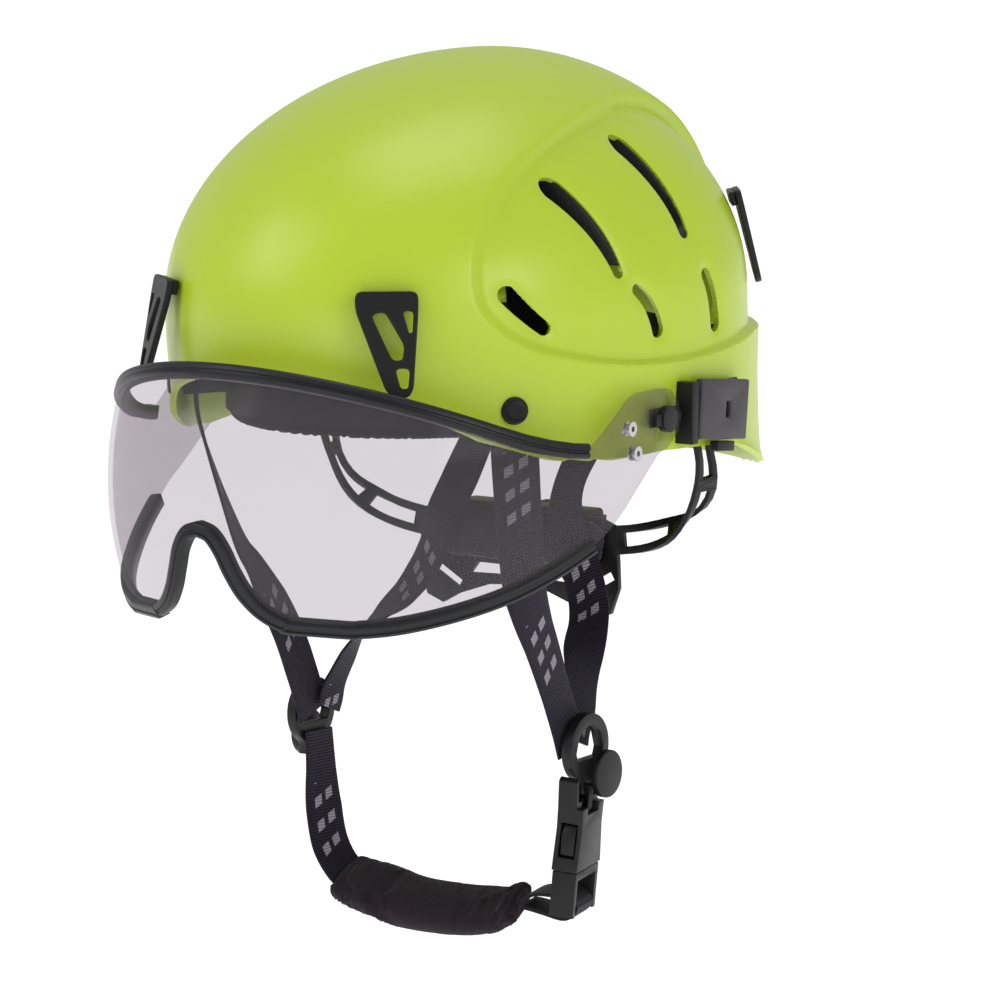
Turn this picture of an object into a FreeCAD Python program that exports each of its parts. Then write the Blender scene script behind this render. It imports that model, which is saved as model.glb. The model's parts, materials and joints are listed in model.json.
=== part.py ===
import FreeCAD, Part
import math
import os

import Sketcher
from FreeCAD import Matrix, Placement, Rotation, Vector

# Arborist helmet with a flip-up half visor, lamp clips, a nape cradle with a size wheel and a
# chin harness.  Millimetres.  +Z is up, the wearer faces -Y and +X is the wearer's left.
# The origin is the middle of the head opening, at the level of the headband.

# ---------------------------------------------------------------- driving dimensions
DIMENSIONS = {
    # crown dome: two quarter ellipsoids, long in front and short behind, on one widest section
    "dome_half_width": 110.0,
    "dome_front": 165.0,
    "dome_rear": 107.0,
    "dome_rise": 98.4,
    "dome_middle": 28.7,
    "dome_level": 40.0,
    "shell_wall": 2.6,
    # sunk vent panel: its own, smaller dome behind the raised crown and above the skirt band
    "panel_half_width": 108.4,
    "panel_front": 163.4,
    "panel_rear": 99.0,
    "panel_rise": 92.6,
    "spine_half_width": 62.0,
    # head opening
    "head_half_width": 84.0,
    "head_half_length": 104.0,
    "headband_wall": 1.8,
    "headband_low": -3.0,
    "headband_high": 26.0,
    "brow_pad_thick": 5.0,
    # foam liner
    "liner_gap": 0.6,
    "liner_thick": 17.0,
    "liner_low": 58.0,
    # visor
    "visor_half_width": 114.0,
    "visor_depth": 159.0,
    "visor_height": 134.0,
    "visor_middle": -9.6,
    "visor_level": -28.0,
    "visor_cheek": 109.5,
    "lens_thick": 2.0,
    "pivot_back": -13.6,
    "pivot_level": -2.0,
    "pivot_hub": 4.0,
    "hub_clearance": 0.06,
    "trim_wide": 2.0,
    "trim_tall": 3.0,
    # webbing
    "web_wide": 19.0,
    "web_thick": 1.4,
    # buttons, clips, adapters
    "button_cap": 5.6,
    "button_rise": 2.4,
    "button_shank": 3.0,
    "clip_high": 40.0,
    "clip_thick": 2.6,
    "clip_stand": 3.1,
    "face_long": 40.0,
    "face_high": 24.0,
    "face_thick": 5.4,
    "latch_long": 13.0,
    # dividers and buckle
    "ring_radius": 14.0,
    "ring_thick": 4.6,
    "disc_radius": 9.7,
    "disc_thick": 3.2,
    "socket_wide": 26.0,
    "socket_thick": 11.0,
    "socket_long": 37.0,
    # nape cradle
    "arm_wide": 12.0,
    "arm_thick": 2.0,
    "plate_thick": 2.4,
    "wheel_radius": 12.5,
    "wheel_thick": 8.0,
    "gear_module": 1.0,
    "gear_teeth": 12.0,
}

doc = FreeCAD.newDocument("arborist_helmet")
sheet = doc.addObject("Spreadsheet::Sheet", "Dimensions")
for row, (alias, value) in enumerate(DIMENSIONS.items(), start=1):
    sheet.set("A%d" % row, alias)
    sheet.set("B%d" % row, str(value))
    sheet.setAlias("B%d" % row, alias)
doc.recompute()

SIDES = {"left": 1.0, "right": -1.0}
SUB_PARTS = []


def size(alias):
    """A driving dimension, read from the sheet."""
    return float(sheet.get(alias))


def register(obj, label, placement=None):
    """Gives a sub-part its node name and its place on the helmet."""
    obj.Label = label
    if placement is not None:
        obj.Placement = placement
    SUB_PARTS.append(obj)
    return obj


def shape_part(label, shape, placement=None):
    """A sub-part whose shape is made with Part's own functions."""
    obj = doc.addObject("Part::Feature", label)
    obj.Shape = shape
    return register(obj, label, placement if placement is not None else shape.Placement)


def bind(obj, **expressions):
    for prop, expression in expressions.items():
        obj.setExpression(prop, expression)


# ---------------------------------------------------------------- shape helpers
def fused(shapes):
    whole = shapes[0]
    for shape in shapes[1:]:
        whole = whole.fuse(shape)
    return whole.removeSplitter()


def box(x0, x1, y0, y1, z0, z1):
    return Part.makeBox(x1 - x0, y1 - y0, z1 - z0, Vector(x0, y0, z0))


def mirrored(shape):
    return shape.mirror(Vector(0, 0, 0), Vector(1, 0, 0))


def on_side(shape, side):
    """A shape modelled for the wearer's left, or its mirror image for the right."""
    return shape if side > 0 else mirrored(shape)


def smooth_edge(points, closed=False):
    curve = Part.BSplineCurve()
    curve.interpolate(Points=points, PeriodicFlag=closed)
    return curve.toShape()


def polygon_face(points):
    return Part.Face(Part.makePolygon(points + [points[0]]))


def side_prism(outline, reach=140.0):
    """A side-view outline of (y, z) points, run right across the helmet."""
    face = polygon_face([Vector(-reach, y, z) for y, z in outline])
    return face.extrude(Vector(2 * reach, 0, 0))


def tapered_slot(start, end, start_wide, end_wide, reach=140.0):
    """A slot in the side view with round ends of two widths, run across the helmet."""
    a = Vector(-reach, start[0], start[1])
    b = Vector(-reach, end[0], end[1])
    across = (b - a).normalize().cross(Vector(1, 0, 0))
    ends = [a + across * start_wide / 2, b + across * end_wide / 2]
    ends += [b - across * end_wide / 2, a - across * start_wide / 2]
    blade = polygon_face(ends)
    run = Vector(2 * reach, 0, 0)
    rounds = [
        Part.makeCylinder(start_wide / 2, 2 * reach, a, Vector(1, 0, 0)),
        Part.makeCylinder(end_wide / 2, 2 * reach, b, Vector(1, 0, 0)),
    ]
    return blade.extrude(run).fuse(rounds)


def quarter_ellipsoid(half_width, reach, rise, toward):
    """The upper quarter of an ellipsoid that lies before or behind the widest section."""
    quarter = Part.makeSphere(1.0, Vector(), Vector(0, 0, 1), 0, 90, 180)
    stretch = Matrix()
    stretch.scale(Vector(half_width, reach, rise))
    if toward < 0:
        quarter = quarter.mirror(Vector(), Vector(0, 1, 0))
    return quarter.transformGeometry(stretch)


def half_oval(half_width, reach, level, toward):
    """Half an ellipse in plan, before or behind the widest section."""
    arc = Part.Arc(Vector(1, 0, 0), Vector(0, toward, 0), Vector(-1, 0, 0)).toShape()
    stretch = Matrix()
    stretch.scale(Vector(half_width, reach, 1))
    stretch.move(Vector(0, 0, level))
    return arc.transformGeometry(stretch)


SKIRT_LEVELS = [0.0, -14.0, -34.0, -56.0, -84.0]
SKIRT_NARROWING = [0.0, 0.0, -1.4, -1.4, 0.4]
SKIRT_FRONT_PULL = [0.0, -0.8, -3.0, -7.0, -13.0]
SKIRT_REAR_FLARE = [0.0, 1.8, 4.2, 6.8, 9.6]


def dome(half_width, front, rear, rise, flare=1.0):
    """A full dome with its skirt, filled, on the helmet's widest section."""
    upper = quarter_ellipsoid(half_width, front, rise, -1)
    upper = upper.fuse(quarter_ellipsoid(half_width, rear, rise, 1))
    rims = []
    for level, narrowing, pull, spread in zip(
            SKIRT_LEVELS, SKIRT_NARROWING, SKIRT_FRONT_PULL, SKIRT_REAR_FLARE):
        width = half_width + narrowing
        before = half_oval(width, front + pull, level, -1)
        behind = half_oval(width, rear + spread * flare, level, 1)
        rims.append(Part.Wire(Part.__sortEdges__([before, behind])))
    lower = Part.makeLoft(rims, True, False)
    whole = upper.fuse(lower)
    whole.translate(Vector(0, size("dome_middle"), size("dome_level")))
    return whole


def crown_dome(inset):
    return dome(size("dome_half_width") - inset, size("dome_front") - inset,
                size("dome_rear") - inset, size("dome_rise") - inset)


def panel_dome(inset):
    return dome(size("panel_half_width") - inset, size("panel_front") - inset,
                size("panel_rear") - inset, size("panel_rise") - inset, 0.0)


def crown_spot(x, z, toward):
    """A point and its outward direction: on the raised crown in front, on the sunk panel behind."""
    kind, end = ("dome", "front") if toward < 0 else ("panel", "rear")
    width, rise = size(kind + "_half_width"), size(kind + "_rise")
    reach = size(kind + "_" + end)
    height = z - size("dome_level")
    rest = max(0.0, 1 - (x / width) ** 2 - (height / rise) ** 2)
    y = toward * reach * math.sqrt(rest)
    outward = Vector(x / width ** 2, y / reach ** 2, height / rise ** 2).normalize()
    return Vector(x, y + size("dome_middle"), z), outward


def facing(point, outward, up=Vector(0, 0, 1)):
    """A placement whose local -Y points outward and whose local Z is up the surface."""
    back = outward * -1
    rise = (up - outward * up.dot(outward)).normalize()
    return Placement(point, Rotation(back.cross(rise), back, rise, "YZX"))


def strip_frames(points, across, shares):
    """Place, run and width direction at shares of the way along a strap's smooth centre line."""
    curve = Part.BSplineCurve()
    curve.interpolate(points)
    frames = []
    for share in shares:
        at = curve.FirstParameter + (curve.LastParameter - curve.FirstParameter) * share
        spot = share * (len(across) - 1)
        lower = min(int(spot), len(across) - 2)
        side = across[lower] * (1 - spot + lower) + across[lower + 1] * (spot - lower)
        along = curve.tangent(at)[0]
        side = (side - along * side.dot(along)).normalize()
        frames.append((curve.value(at), along, side))
    return frames


def ribbon(points, across, wide, thick, steps=3, shift=0.0, start=0.0, end=1.0):
    """A flat strap along smooth points; across holds its width direction at each point."""
    count = max(2, int(round((len(points) - 1) * steps * (end - start))))
    shares = [start + (end - start) * step / count for step in range(count + 1)]
    sections = []
    for here, along, side in strip_frames(points, across, shares):
        out = along.cross(side)
        centre = here + side * shift
        corners = [centre + side * (wide / 2 * u) + out * (thick / 2 * v)
                   for u, v in ((-1, -1), (1, -1), (1, 1), (-1, 1))]
        sections.append(Part.makePolygon(corners + [corners[0]]))
    return Part.makeLoft(sections, True, True)


# ---------------------------------------------------------------- sketch helpers
def origin_plane(body, role):
    return next(plane for plane in body.Origin.OriginFeatures if plane.Role == role)


def new_sketch(body, name, role="XY_Plane", offset=0.0):
    sketch = body.newObject("Sketcher::SketchObject", name)
    sketch.AttachmentSupport = [(origin_plane(body, role), "")]
    sketch.MapMode = "FlatFace"
    sketch.AttachmentOffset = Placement(Vector(0, 0, offset), Rotation())
    return sketch


def draw_circle(sketch, centre, radius):
    """A circle whose radius is bound to the sheet or given as an expression."""
    index = sketch.addGeometry(Part.Circle(Vector(centre[0], centre[1], 0), Vector(0, 0, 1), 1.0))
    sketch.addConstraint(Sketcher.Constraint("DistanceX", -1, 1, index, 3, centre[0]))
    sketch.addConstraint(Sketcher.Constraint("DistanceY", -1, 1, index, 3, centre[1]))
    rim = sketch.addConstraint(Sketcher.Constraint("Radius", index, 1.0))
    sketch.setExpression("Constraints[%d]" % rim, radius)


def draw_polygon(sketch, points):
    first = sketch.GeometryCount
    count = len(points)
    for index in range(count):
        a, b = points[index], points[(index + 1) % count]
        sketch.addGeometry(Part.LineSegment(Vector(a[0], a[1], 0), Vector(b[0], b[1], 0)))
    for index in range(count):
        following = first + (index + 1) % count
        sketch.addConstraint(Sketcher.Constraint("Coincident", first + index, 2, following, 1))


def draw_block(sketch, wide, high):
    """A rectangle about the sketch's origin, both sides bound to expressions."""
    first = sketch.GeometryCount
    draw_polygon(sketch, [(-5, -4), (5, -4), (5, 4), (-5, 4)])
    for index, kind in enumerate(("Horizontal", "Vertical", "Horizontal", "Vertical")):
        sketch.addConstraint(Sketcher.Constraint(kind, first + index))
    sketch.addConstraint(Sketcher.Constraint("Symmetric", first, 1, first + 2, 1, -1, 1))
    across = sketch.addConstraint(Sketcher.Constraint("DistanceX", first, 1, first, 2, 10.0))
    upward = sketch.addConstraint(Sketcher.Constraint("DistanceY", first + 1, 1, first + 1, 2, 8.0))
    sketch.setExpression("Constraints[%d]" % across, wide)
    sketch.setExpression("Constraints[%d]" % upward, high)


def pad(body, sketch, length, both_ways=False):
    feature = body.newObject("PartDesign::Pad", sketch.Name + "Pad")
    feature.Profile = sketch
    feature.setExpression("Length", length)
    feature.Midplane = both_ways
    body.Tip = feature
    return feature


def pocket(body, sketch, length):
    """A pocket cut both ways from its sketch; the volume has to drop."""
    doc.recompute()
    before = body.Shape.Volume
    feature = body.newObject("PartDesign::Pocket", sketch.Name + "Cut")
    feature.Profile = sketch
    feature.Midplane = True
    feature.setExpression("Length", length)
    body.Tip = feature
    doc.recompute()
    if body.Shape.Volume > before - 1e-3:
        raise RuntimeError("pocket %s cuts nothing" % sketch.Name)
    return feature


# ---------------------------------------------------------------- shell
PANEL_OUTLINE = [(66, 25.5), (38, 22), (6, 19.5), (-28, 20.5), (-56, 25), (-76, 31.5),
                 (-89, 43), (-91, 56), (-85, 72), (-70, 88.5), (-49, 101), (-16, 113), (22, 121)]
PANEL_CENTRE = (30.0, 76.0)


def panel_region(grow):
    """Where the shell is sunk: a C in the side view, outside the spine that runs over the top."""
    front = []
    for y, z in PANEL_OUTLINE:
        away = Vector(y - PANEL_CENTRE[0], z - PANEL_CENTRE[1], 0)
        away = away + away.normalize() * grow
        front.append(Vector(-150, PANEL_CENTRE[0] + away.x, PANEL_CENTRE[1] + away.y))
    curve = smooth_edge(front)
    tail = [front[-1], Vector(-150, 60, 150), Vector(-150, 150, 150),
            Vector(-150, 150, 27 - grow), front[0]]
    face = Part.Face(Part.Wire([curve] + list(Part.makePolygon(tail).Edges)))
    whole = face.extrude(Vector(300, 0, 0))
    spine = size("spine_half_width") - grow
    return whole.cut(box(-spine, spine, -160, 160, -60, 160))


def stepped_dome(inset, grow):
    return crown_dome(inset).cut(panel_region(grow)).fuse(panel_dome(inset))


BRIM_OUTLINE = [(-150, 24), (-134, 19), (-112, 9), (-88, -5), (-62, -14), (-34, -16),
                (-8, -15.5), (22, -16.5), (48, -19), (72, -26), (96, -33), (122, -36), (150, -36.5)]
VENTS = [((4.0, 105.5), (14.0, 73.0), 8.5, 4.0), ((-45.0, 90.5), (-30.0, 57.0), 8.0, 4.0),
         ((-80.0, 51.0), (-67.0, 38.0), 10.0, 8.0), ((-23.5, 47.5), (-11.0, 33.5), 7.0, 9.0),
         ((21.5, 50.5), (28.5, 33.5), 5.0, 7.0)]
BUTTON_SPOT = (-77.0, 6.0)
ADAPTER_SLOT = (12.0, 32.0, -6.0, 6.0)
CRADLE_PIN_SPOT = (40.0, -6.0)


def brim_cutter(lower_by=0.0):
    outline = [(y, z - lower_by) for y, z in BRIM_OUTLINE]
    edge = smooth_edge([Vector(-150, y, z) for y, z in outline])
    bottom = Part.makePolygon([Vector(-150, 150, outline[-1][1]), Vector(-150, 150, -90),
                               Vector(-150, -150, -90), Vector(-150, -150, outline[0][1])])
    face = Part.Face(Part.Wire([edge] + list(bottom.Edges)))
    return face.extrude(Vector(300, 0, 0))


def side_wall_x(y, z):
    """How far out the side of the lower shell is, from the filled dome itself."""
    ray = Part.makeLine(Vector(60, y, z), Vector(140, y, z))
    inside = ray.common(OUTER_DOME)
    return inside.BoundBox.XMax


OUTER_DOME = stepped_dome(0.0, 0.0)
BUTTON_POINT = Vector(side_wall_x(*BUTTON_SPOT), *BUTTON_SPOT)


def button_direction():
    """Square to the side wall where the strap button sits."""
    reach = 4.0
    y, z = BUTTON_SPOT
    along = Vector(side_wall_x(y + reach, z) - side_wall_x(y - reach, z), 2 * reach, 0)
    upward = Vector(side_wall_x(y, z + reach) - side_wall_x(y, z - reach), 0, 2 * reach)
    return along.cross(upward).normalize()


BUTTON_OUTWARD = button_direction()


def make_shell():
    """Moulded outer shell: raised crown, sunk vent panels, skirt, vents and the fixing holes."""
    wall = size("shell_wall")
    shell = OUTER_DOME.cut(stepped_dome(wall, wall)).cut(brim_cutter())
    for start, end, start_wide, end_wide in VENTS:
        shell = shell.cut(tapered_slot(start, end, start_wide, end_wide))
    for side in SIDES.values():
        hole = Part.makeCylinder(size("button_shank") + 0.1, 30, BUTTON_POINT - BUTTON_OUTWARD * 15,
                                 BUTTON_OUTWARD)
        y0, y1, z0, z1 = ADAPTER_SLOT
        slot = box(90, 125, y0 - 0.2, y1 + 0.2, z0 - 0.2, z1 + 0.2)
        shell = shell.cut(on_side(hole.fuse(slot), side))
    return shape_part("shell", shell)


# ---------------------------------------------------------------- inside the shell
def make_liner():
    """Black foam liner in the crown, with the vent slots carried through it."""
    gap = size("shell_wall") + size("liner_gap")
    liner = panel_dome(gap).cut(panel_dome(gap + size("liner_thick")))
    liner = liner.cut(box(-150, 150, -160, 160, -80, size("liner_low")))
    for start, end, start_wide, end_wide in VENTS[:2]:
        liner = liner.cut(tapered_slot(start, end, start_wide + 3, end_wide + 3))
    shape_part("impact_liner", liner)
    inner = gap + size("liner_thick") + 0.3
    cushion = panel_dome(inner).cut(panel_dome(inner + 5.0))
    cushion = cushion.common(box(-38, 38, -48, 62, 92, 140))
    return shape_part("crown_pad", cushion)


def oval_ring(inset_outer, inset_inner, low, high):
    """A band that follows the head opening's oval."""
    rings = []
    for inset in (inset_outer, inset_inner):
        major, minor = size("head_half_length") - inset, size("head_half_width") - inset
        ellipse = Part.Ellipse(Vector(0, major, low), Vector(minor, 0, low), Vector(0, 0, low))
        rings.append(Part.Face(Part.Wire(ellipse.toShape())).extrude(Vector(0, 0, high - low)))
    return rings[0].cut(rings[1])


HEADBAND_END = 34.0
BROW_PAD_END = -60.0


def make_headband():
    """Springy headband, deeper in front than behind, and the soft brow pad inside it."""
    low, high, wall = size("headband_low"), size("headband_high"), size("headband_wall")
    band = oval_ring(0.0, wall, low, high)
    band = band.cut(box(-120, 120, HEADBAND_END, 120, -40, high - 16))
    for x in (-1, 1):
        for y in (-62.0, -30.0, 2.0):
            slot = box(60, 100, y - 9, y + 9, high - 12, high - 6)
            band = band.cut(slot if x > 0 else mirrored(slot))
    shape_part("headband", band)
    inset = wall + 0.25
    cushion = oval_ring(inset, inset + size("brow_pad_thick"), low - 4, high - 3)
    cushion = cushion.cut(box(-120, 120, BROW_PAD_END, 120, -40, 60))
    return shape_part("brow_pad", cushion)


CRADLE_TURN = 35.0


def crown_strap(rise, turn):
    """One textile band over the head: a low arch that runs down to the headband at both ends."""
    reach, thick, wide = 86.0, 1.2, 18.0
    level, foot = 38.0, 12.0
    outer = Part.Ellipse(Vector(reach, 0, level), Vector(0, 0, level + rise), Vector(0, 0, level))
    inner = Part.Ellipse(Vector(reach - thick, 0, level), Vector(0, 0, level + rise - thick),
                         Vector(0, 0, level))
    arch = Part.Face(Part.Wire(outer.toShape())).cut(Part.Face(Part.Wire(inner.toShape())))
    arch = arch.extrude(Vector(0, wide, 0))
    arch.translate(Vector(0, -wide / 2, 0))
    arch = arch.common(box(-120, 120, -30, 30, level, 160))
    legs = [box(s * reach - (thick if s > 0 else 0), s * reach + (0 if s > 0 else thick),
                -wide / 2, wide / 2, foot, level) for s in (-1, 1)]
    whole = fused([arch] + legs)
    whole.rotate(Vector(), Vector(0, 0, 1), turn)
    return whole


def make_suspension():
    """Crossed crown bands and the four plastic hooks that carry the headband in the shell."""
    shape_part("crown_strap_lower", crown_strap(60.0, CRADLE_TURN))
    shape_part("crown_strap_upper", crown_strap(62.0, -CRADLE_TURN))
    hollow = crown_dome(size("shell_wall") + 0.15)
    hooks = []
    for turn in (47, 133, -64, -116):
        bar = box(60, 140, -6, 6, 16, 24)
        web = box(60, 140, -1.5, 1.5, 6, 16)
        hook = bar.fuse(web)
        hook.rotate(Vector(), Vector(0, 0, 1), turn)
        hooks.append(hook)
    head = Part.Ellipse(Vector(0, size("head_half_length") + 0.15, -30),
                        Vector(size("head_half_width") + 0.15, 0, -30), Vector(0, 0, -30))
    core = Part.Face(Part.Wire(head.toShape())).extrude(Vector(0, 0, 90))
    group = Part.makeCompound([hook.common(hollow).cut(core) for hook in hooks])
    shape_part("shell_hooks", group)


# ---------------------------------------------------------------- on the shell
def make_strap_buttons():
    """Domed rivet caps over the ends of the front straps, one each side, with their shanks."""
    for name, side in SIDES.items():
        cap = doc.addObject("Part::Cylinder", "ButtonCap_" + name)
        bind(cap, Radius="Dimensions.button_cap", Height="Dimensions.button_rise")
        shank = doc.addObject("Part::Cylinder", "ButtonShank_" + name)
        bind(shank, Radius="Dimensions.button_shank", Height="Dimensions.shell_wall + 5")
        shank.Placement = Placement(Vector(0, 0, -size("shell_wall") - 4), Rotation())
        washer = doc.addObject("Part::Cylinder", "ButtonWasher_" + name)
        bind(washer, Radius="Dimensions.button_cap - 0.6", Height="1.2")
        washer.Placement = Placement(Vector(0, 0, -size("shell_wall") - 5.2), Rotation())
        stack = doc.addObject("Part::MultiFuse", "ButtonStack_" + name)
        stack.Shapes = [cap, shank, washer]
        doc.recompute()
        rounded = doc.addObject("Part::Fillet", "Button_" + name)
        rounded.Base = stack
        rim = max(range(len(stack.Shape.Edges)), key=lambda k: stack.Shape.Edges[k].CenterOfMass.z)
        rounded.Edges = [(rim + 1, 1.6, 1.6)]
        point = Vector(BUTTON_POINT.x * side, BUTTON_POINT.y, BUTTON_POINT.z)
        outward = Vector(BUTTON_OUTWARD.x * side, BUTTON_OUTWARD.y, BUTTON_OUTWARD.z)
        place = Placement(point + outward * 0.25, Rotation(Vector(0, 0, 1), outward))
        register(rounded, "strap_button_" + name, place)


CLIP_SPOTS = {
    "lamp_clip_front": (50.5, 52.5, -1),
    "lamp_clip_rear": (83.0, 80.0, 1),
}
CLIP_OUTLINE = [(-12.2, 0.0), (11.6, 0.0), (11.6, -8.0), (9.4, -37.0), (7.5, -40.0), (2.0, -40.0),
                (-1.0, -37.5), (-12.2, -7.0)]


def make_lamp_clips():
    """Four spring clips for a head lamp: a tapered plate on a foot at its top edge."""
    for label, (x, z, toward) in CLIP_SPOTS.items():
        for name, side in SIDES.items():
            body = doc.addObject("PartDesign::Body", label + "_" + name)
            plate = new_sketch(body, label + name + "Plate", "XZ_Plane", size("clip_stand"))
            draw_polygon(plate, [(px * side, pz) for px, pz in CLIP_OUTLINE])
            pad(body, plate, "Dimensions.clip_thick")
            foot = new_sketch(body, label + name + "Foot", "XZ_Plane", 0.8)
            draw_polygon(foot, [(-11, -0.2), (11, -0.2), (11, -6), (-11, -6)])
            pad(body, foot, "Dimensions.clip_stand")
            window = new_sketch(body, label + name + "Window", "XZ_Plane", size("clip_stand") + 1.5)
            for loop in ([(-4.5, -10.5), (0.5, -9.5), (5.5, -20.0), (4.5, -25.0), (1.0, -25.0)],
                         [(6.0, -9.5), (9.6, -9.5), (9.0, -15.5), (7.2, -15.0)],
                         [(3.0, -28.5), (8.0, -28.5), (7.0, -36.0), (4.6, -36.0)]):
                draw_polygon(window, [(px * side, pz) for px, pz in loop])
            pocket(body, window, "Dimensions.clip_thick * 2.4")
            point, outward = crown_spot(x, z, toward)
            spot = Vector(point.x * side, point.y, point.z)
            normal = Vector(outward.x * side, outward.y, outward.z)
            register(body, label + "_" + name, facing(spot, normal))


# ---------------------------------------------------------------- visor adapters
ADAPTER_TILT = -6.0
FACE_CENTRE = (22.0, -2.0)
ADAPTER_INNER = 109.6


def face_placement(side, x):
    """Local X runs back along the side of the shell, local Y up, local Z outward."""
    tilt = Rotation(Vector(1, 0, 0), ADAPTER_TILT)
    if side > 0:
        frame = Rotation(Vector(0, 1, 0), Vector(0, 0, 1), Vector(1, 0, 0), "ZXY")
    else:
        frame = Rotation(Vector(0, 1, 0), Vector(0, 0, -1), Vector(-1, 0, 0), "ZXY")
    return Placement(Vector(side * x, FACE_CENTRE[0], FACE_CENTRE[1]), tilt.multiply(frame))


def make_adapters():
    """Accessory adapters: black carrier with the pivot tongue, grey face, and a release latch."""
    pivot = (size("pivot_back"), size("pivot_level"))
    for name, side in SIDES.items():
        cheek = size("visor_cheek") - size("lens_thick")
        tongue = box(105.4, cheek - 0.35, pivot[0] - 4.5, 3.0, pivot[1] - 3.6, pivot[1] + 3.6)
        post = box(105.4, 114.6, -0.5, 4.2, -13.5, 11.0)
        spigot = box(101.0, ADAPTER_INNER + 0.4, ADAPTER_SLOT[0], ADAPTER_SLOT[1],
                     ADAPTER_SLOT[2], ADAPTER_SLOT[3])
        back = box(ADAPTER_INNER, ADAPTER_INNER + 1.4, 4.0, 40.0, -12.0, 9.0)
        carrier = tongue.fuse([post, back, spigot])
        clear = Part.makeCylinder(12.9, 20, Vector(cheek - 0.3, *pivot), Vector(1, 0, 0))
        carrier = carrier.cut(clear).cut(stepped_shell_solid())
        shape_part("adapter_carrier_" + name, on_side(carrier.removeSplitter(), side))

        body = doc.addObject("PartDesign::Body", "adapter_face_" + name)
        plate = new_sketch(body, "Face" + name)
        draw_block(plate, "Dimensions.face_long - 4", "Dimensions.face_high")
        pad(body, plate, "Dimensions.face_thick - 1.4")
        hole = new_sketch(body, "FaceHole" + name, offset=3.0)
        draw_polygon(hole, [(1.2, -3.2), (4.8, -3.2), (4.8, 3.2), (1.2, 3.2)])
        pocket(body, hole, "Dimensions.face_thick * 3")
        place = face_placement(side, ADAPTER_INNER + 1.5)
        place.Base = place.Base + Vector(0, 2.0, 0)
        register(body, "adapter_face_" + name, place)

        latch = doc.addObject("PartDesign::Body", "adapter_latch_" + name)
        nib = new_sketch(latch, "Latch" + name)
        draw_block(nib, "Dimensions.latch_long", "4")
        pad(latch, nib, "4")
        place = face_placement(side, ADAPTER_INNER + 1.7)
        down = place.Rotation.multVec(Vector(4.0, -14.4 * side, 0))
        place.Base = place.Base + down
        register(latch, "adapter_latch_" + name, place)


SHELL_SOLID = []


def stepped_shell_solid():
    """The shell as made, so that what sits on it can be trimmed to it."""
    return SHELL_SOLID[0]


def make_visor_knobs():
    """Pivot studs: a round hub through the lens cheek and a cross bar that keeps it on."""
    cheek = size("visor_cheek")
    inner = cheek - size("lens_thick")
    for name, side in SIDES.items():
        hub = doc.addObject("Part::Cylinder", "Hub_" + name)
        bind(hub, Radius="Dimensions.pivot_hub", Height="Dimensions.lens_thick + 0.9")
        cap = doc.addObject("Part::Cylinder", "Cap_" + name)
        bind(cap, Radius="Dimensions.pivot_hub + 1.2", Height="3")
        cap.Placement = Placement(Vector(0, 0, size("lens_thick") + 0.65), Rotation())
        bar = doc.addObject("Part::Box", "Bar_" + name)
        bind(bar, Length="18", Width="4.4", Height="2.2")
        bar.Placement = Placement(Vector(-9, -2.2, size("lens_thick") + 0.65), Rotation())
        stud = doc.addObject("Part::MultiFuse", "Knob_" + name)
        stud.Shapes = [hub, cap, bar]
        out = Rotation(Vector(0, 1, 0), Vector(0, 0, 1), Vector(1, 0, 0), "ZXY")
        if side < 0:
            out = Rotation(Vector(0, 1, 0), Vector(0, 0, -1), Vector(-1, 0, 0), "ZXY")
        spot = Vector(side * (inner - 0.35), size("pivot_back"), size("pivot_level"))
        register(stud, "visor_knob_" + name, Placement(spot, out))


# ---------------------------------------------------------------- visor
VISOR_TOP_FRONT = (-178.0, 32.8)
VISOR_TOP_CORNER = (-66.0, -14.0)
VISOR_BOTTOM = [(-178, -73.5), (-146, -73.5), (-128, -71.5), (-100, -64), (-80, -56), (-60, -46.5)]
CHEEK = [(-40, -33), (-18, -16), (-9.5, -13.3), (-2.6, -8.0), (-1.4, -2.0), (-2.8, 3.5),
         (-7.5, 8.6), (-14, 10.0), (-30, 10.0), (-36, 8.0)]
NOSE = [(0, -35), (5.5, -37), (9.8, -43), (13, -51), (17.5, -60), (25, -68), (38, -74), (60, -82)]


def visor_shell(outside, inside):
    """The band of space between two offsets of the lens's outer surface, cheeks flattened."""
    middle = Vector(0, size("visor_middle"), size("visor_level"))
    layers = []
    for grow in (outside, inside):
        ball = Part.makeSphere(1.0)
        stretch = Matrix()
        stretch.scale(Vector(size("visor_half_width") + grow, size("visor_depth") + grow,
                             size("visor_height") + grow))
        ball = ball.transformGeometry(stretch)
        ball.translate(middle)
        cheek = size("visor_cheek") + grow
        layers.append(ball.common(box(-cheek, cheek, -200, 40, -120, 80)))
    return layers[0].cut(layers[1])


def nose_cutter(grow):
    """The bell-shaped gap over the nose, seen from the front; grow widens it."""
    half = []
    for index, (x, z) in enumerate(NOSE):
        before, after = NOSE[max(index - 1, 0)], NOSE[min(index + 1, len(NOSE) - 1)]
        along = Vector(after[0] - before[0], after[1] - before[1], 0)
        if index == 0:
            along = Vector(1, 0, 0)
        along.normalize()
        half.append(Vector(x - along.y * grow, -210, z + along.x * grow))
    half = [Vector(max(p.x, 0.0), p.y, p.z) for p in half]
    points = [Vector(-p.x, p.y, p.z) for p in reversed(half[1:])] + half
    low = Part.makePolygon([points[-1], Vector(70, -210, -120), Vector(-70, -210, -120), points[0]])
    face = Part.Face(Part.Wire([smooth_edge(points)] + list(low.Edges)))
    return face.extrude(Vector(0, 130, 0))


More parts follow.
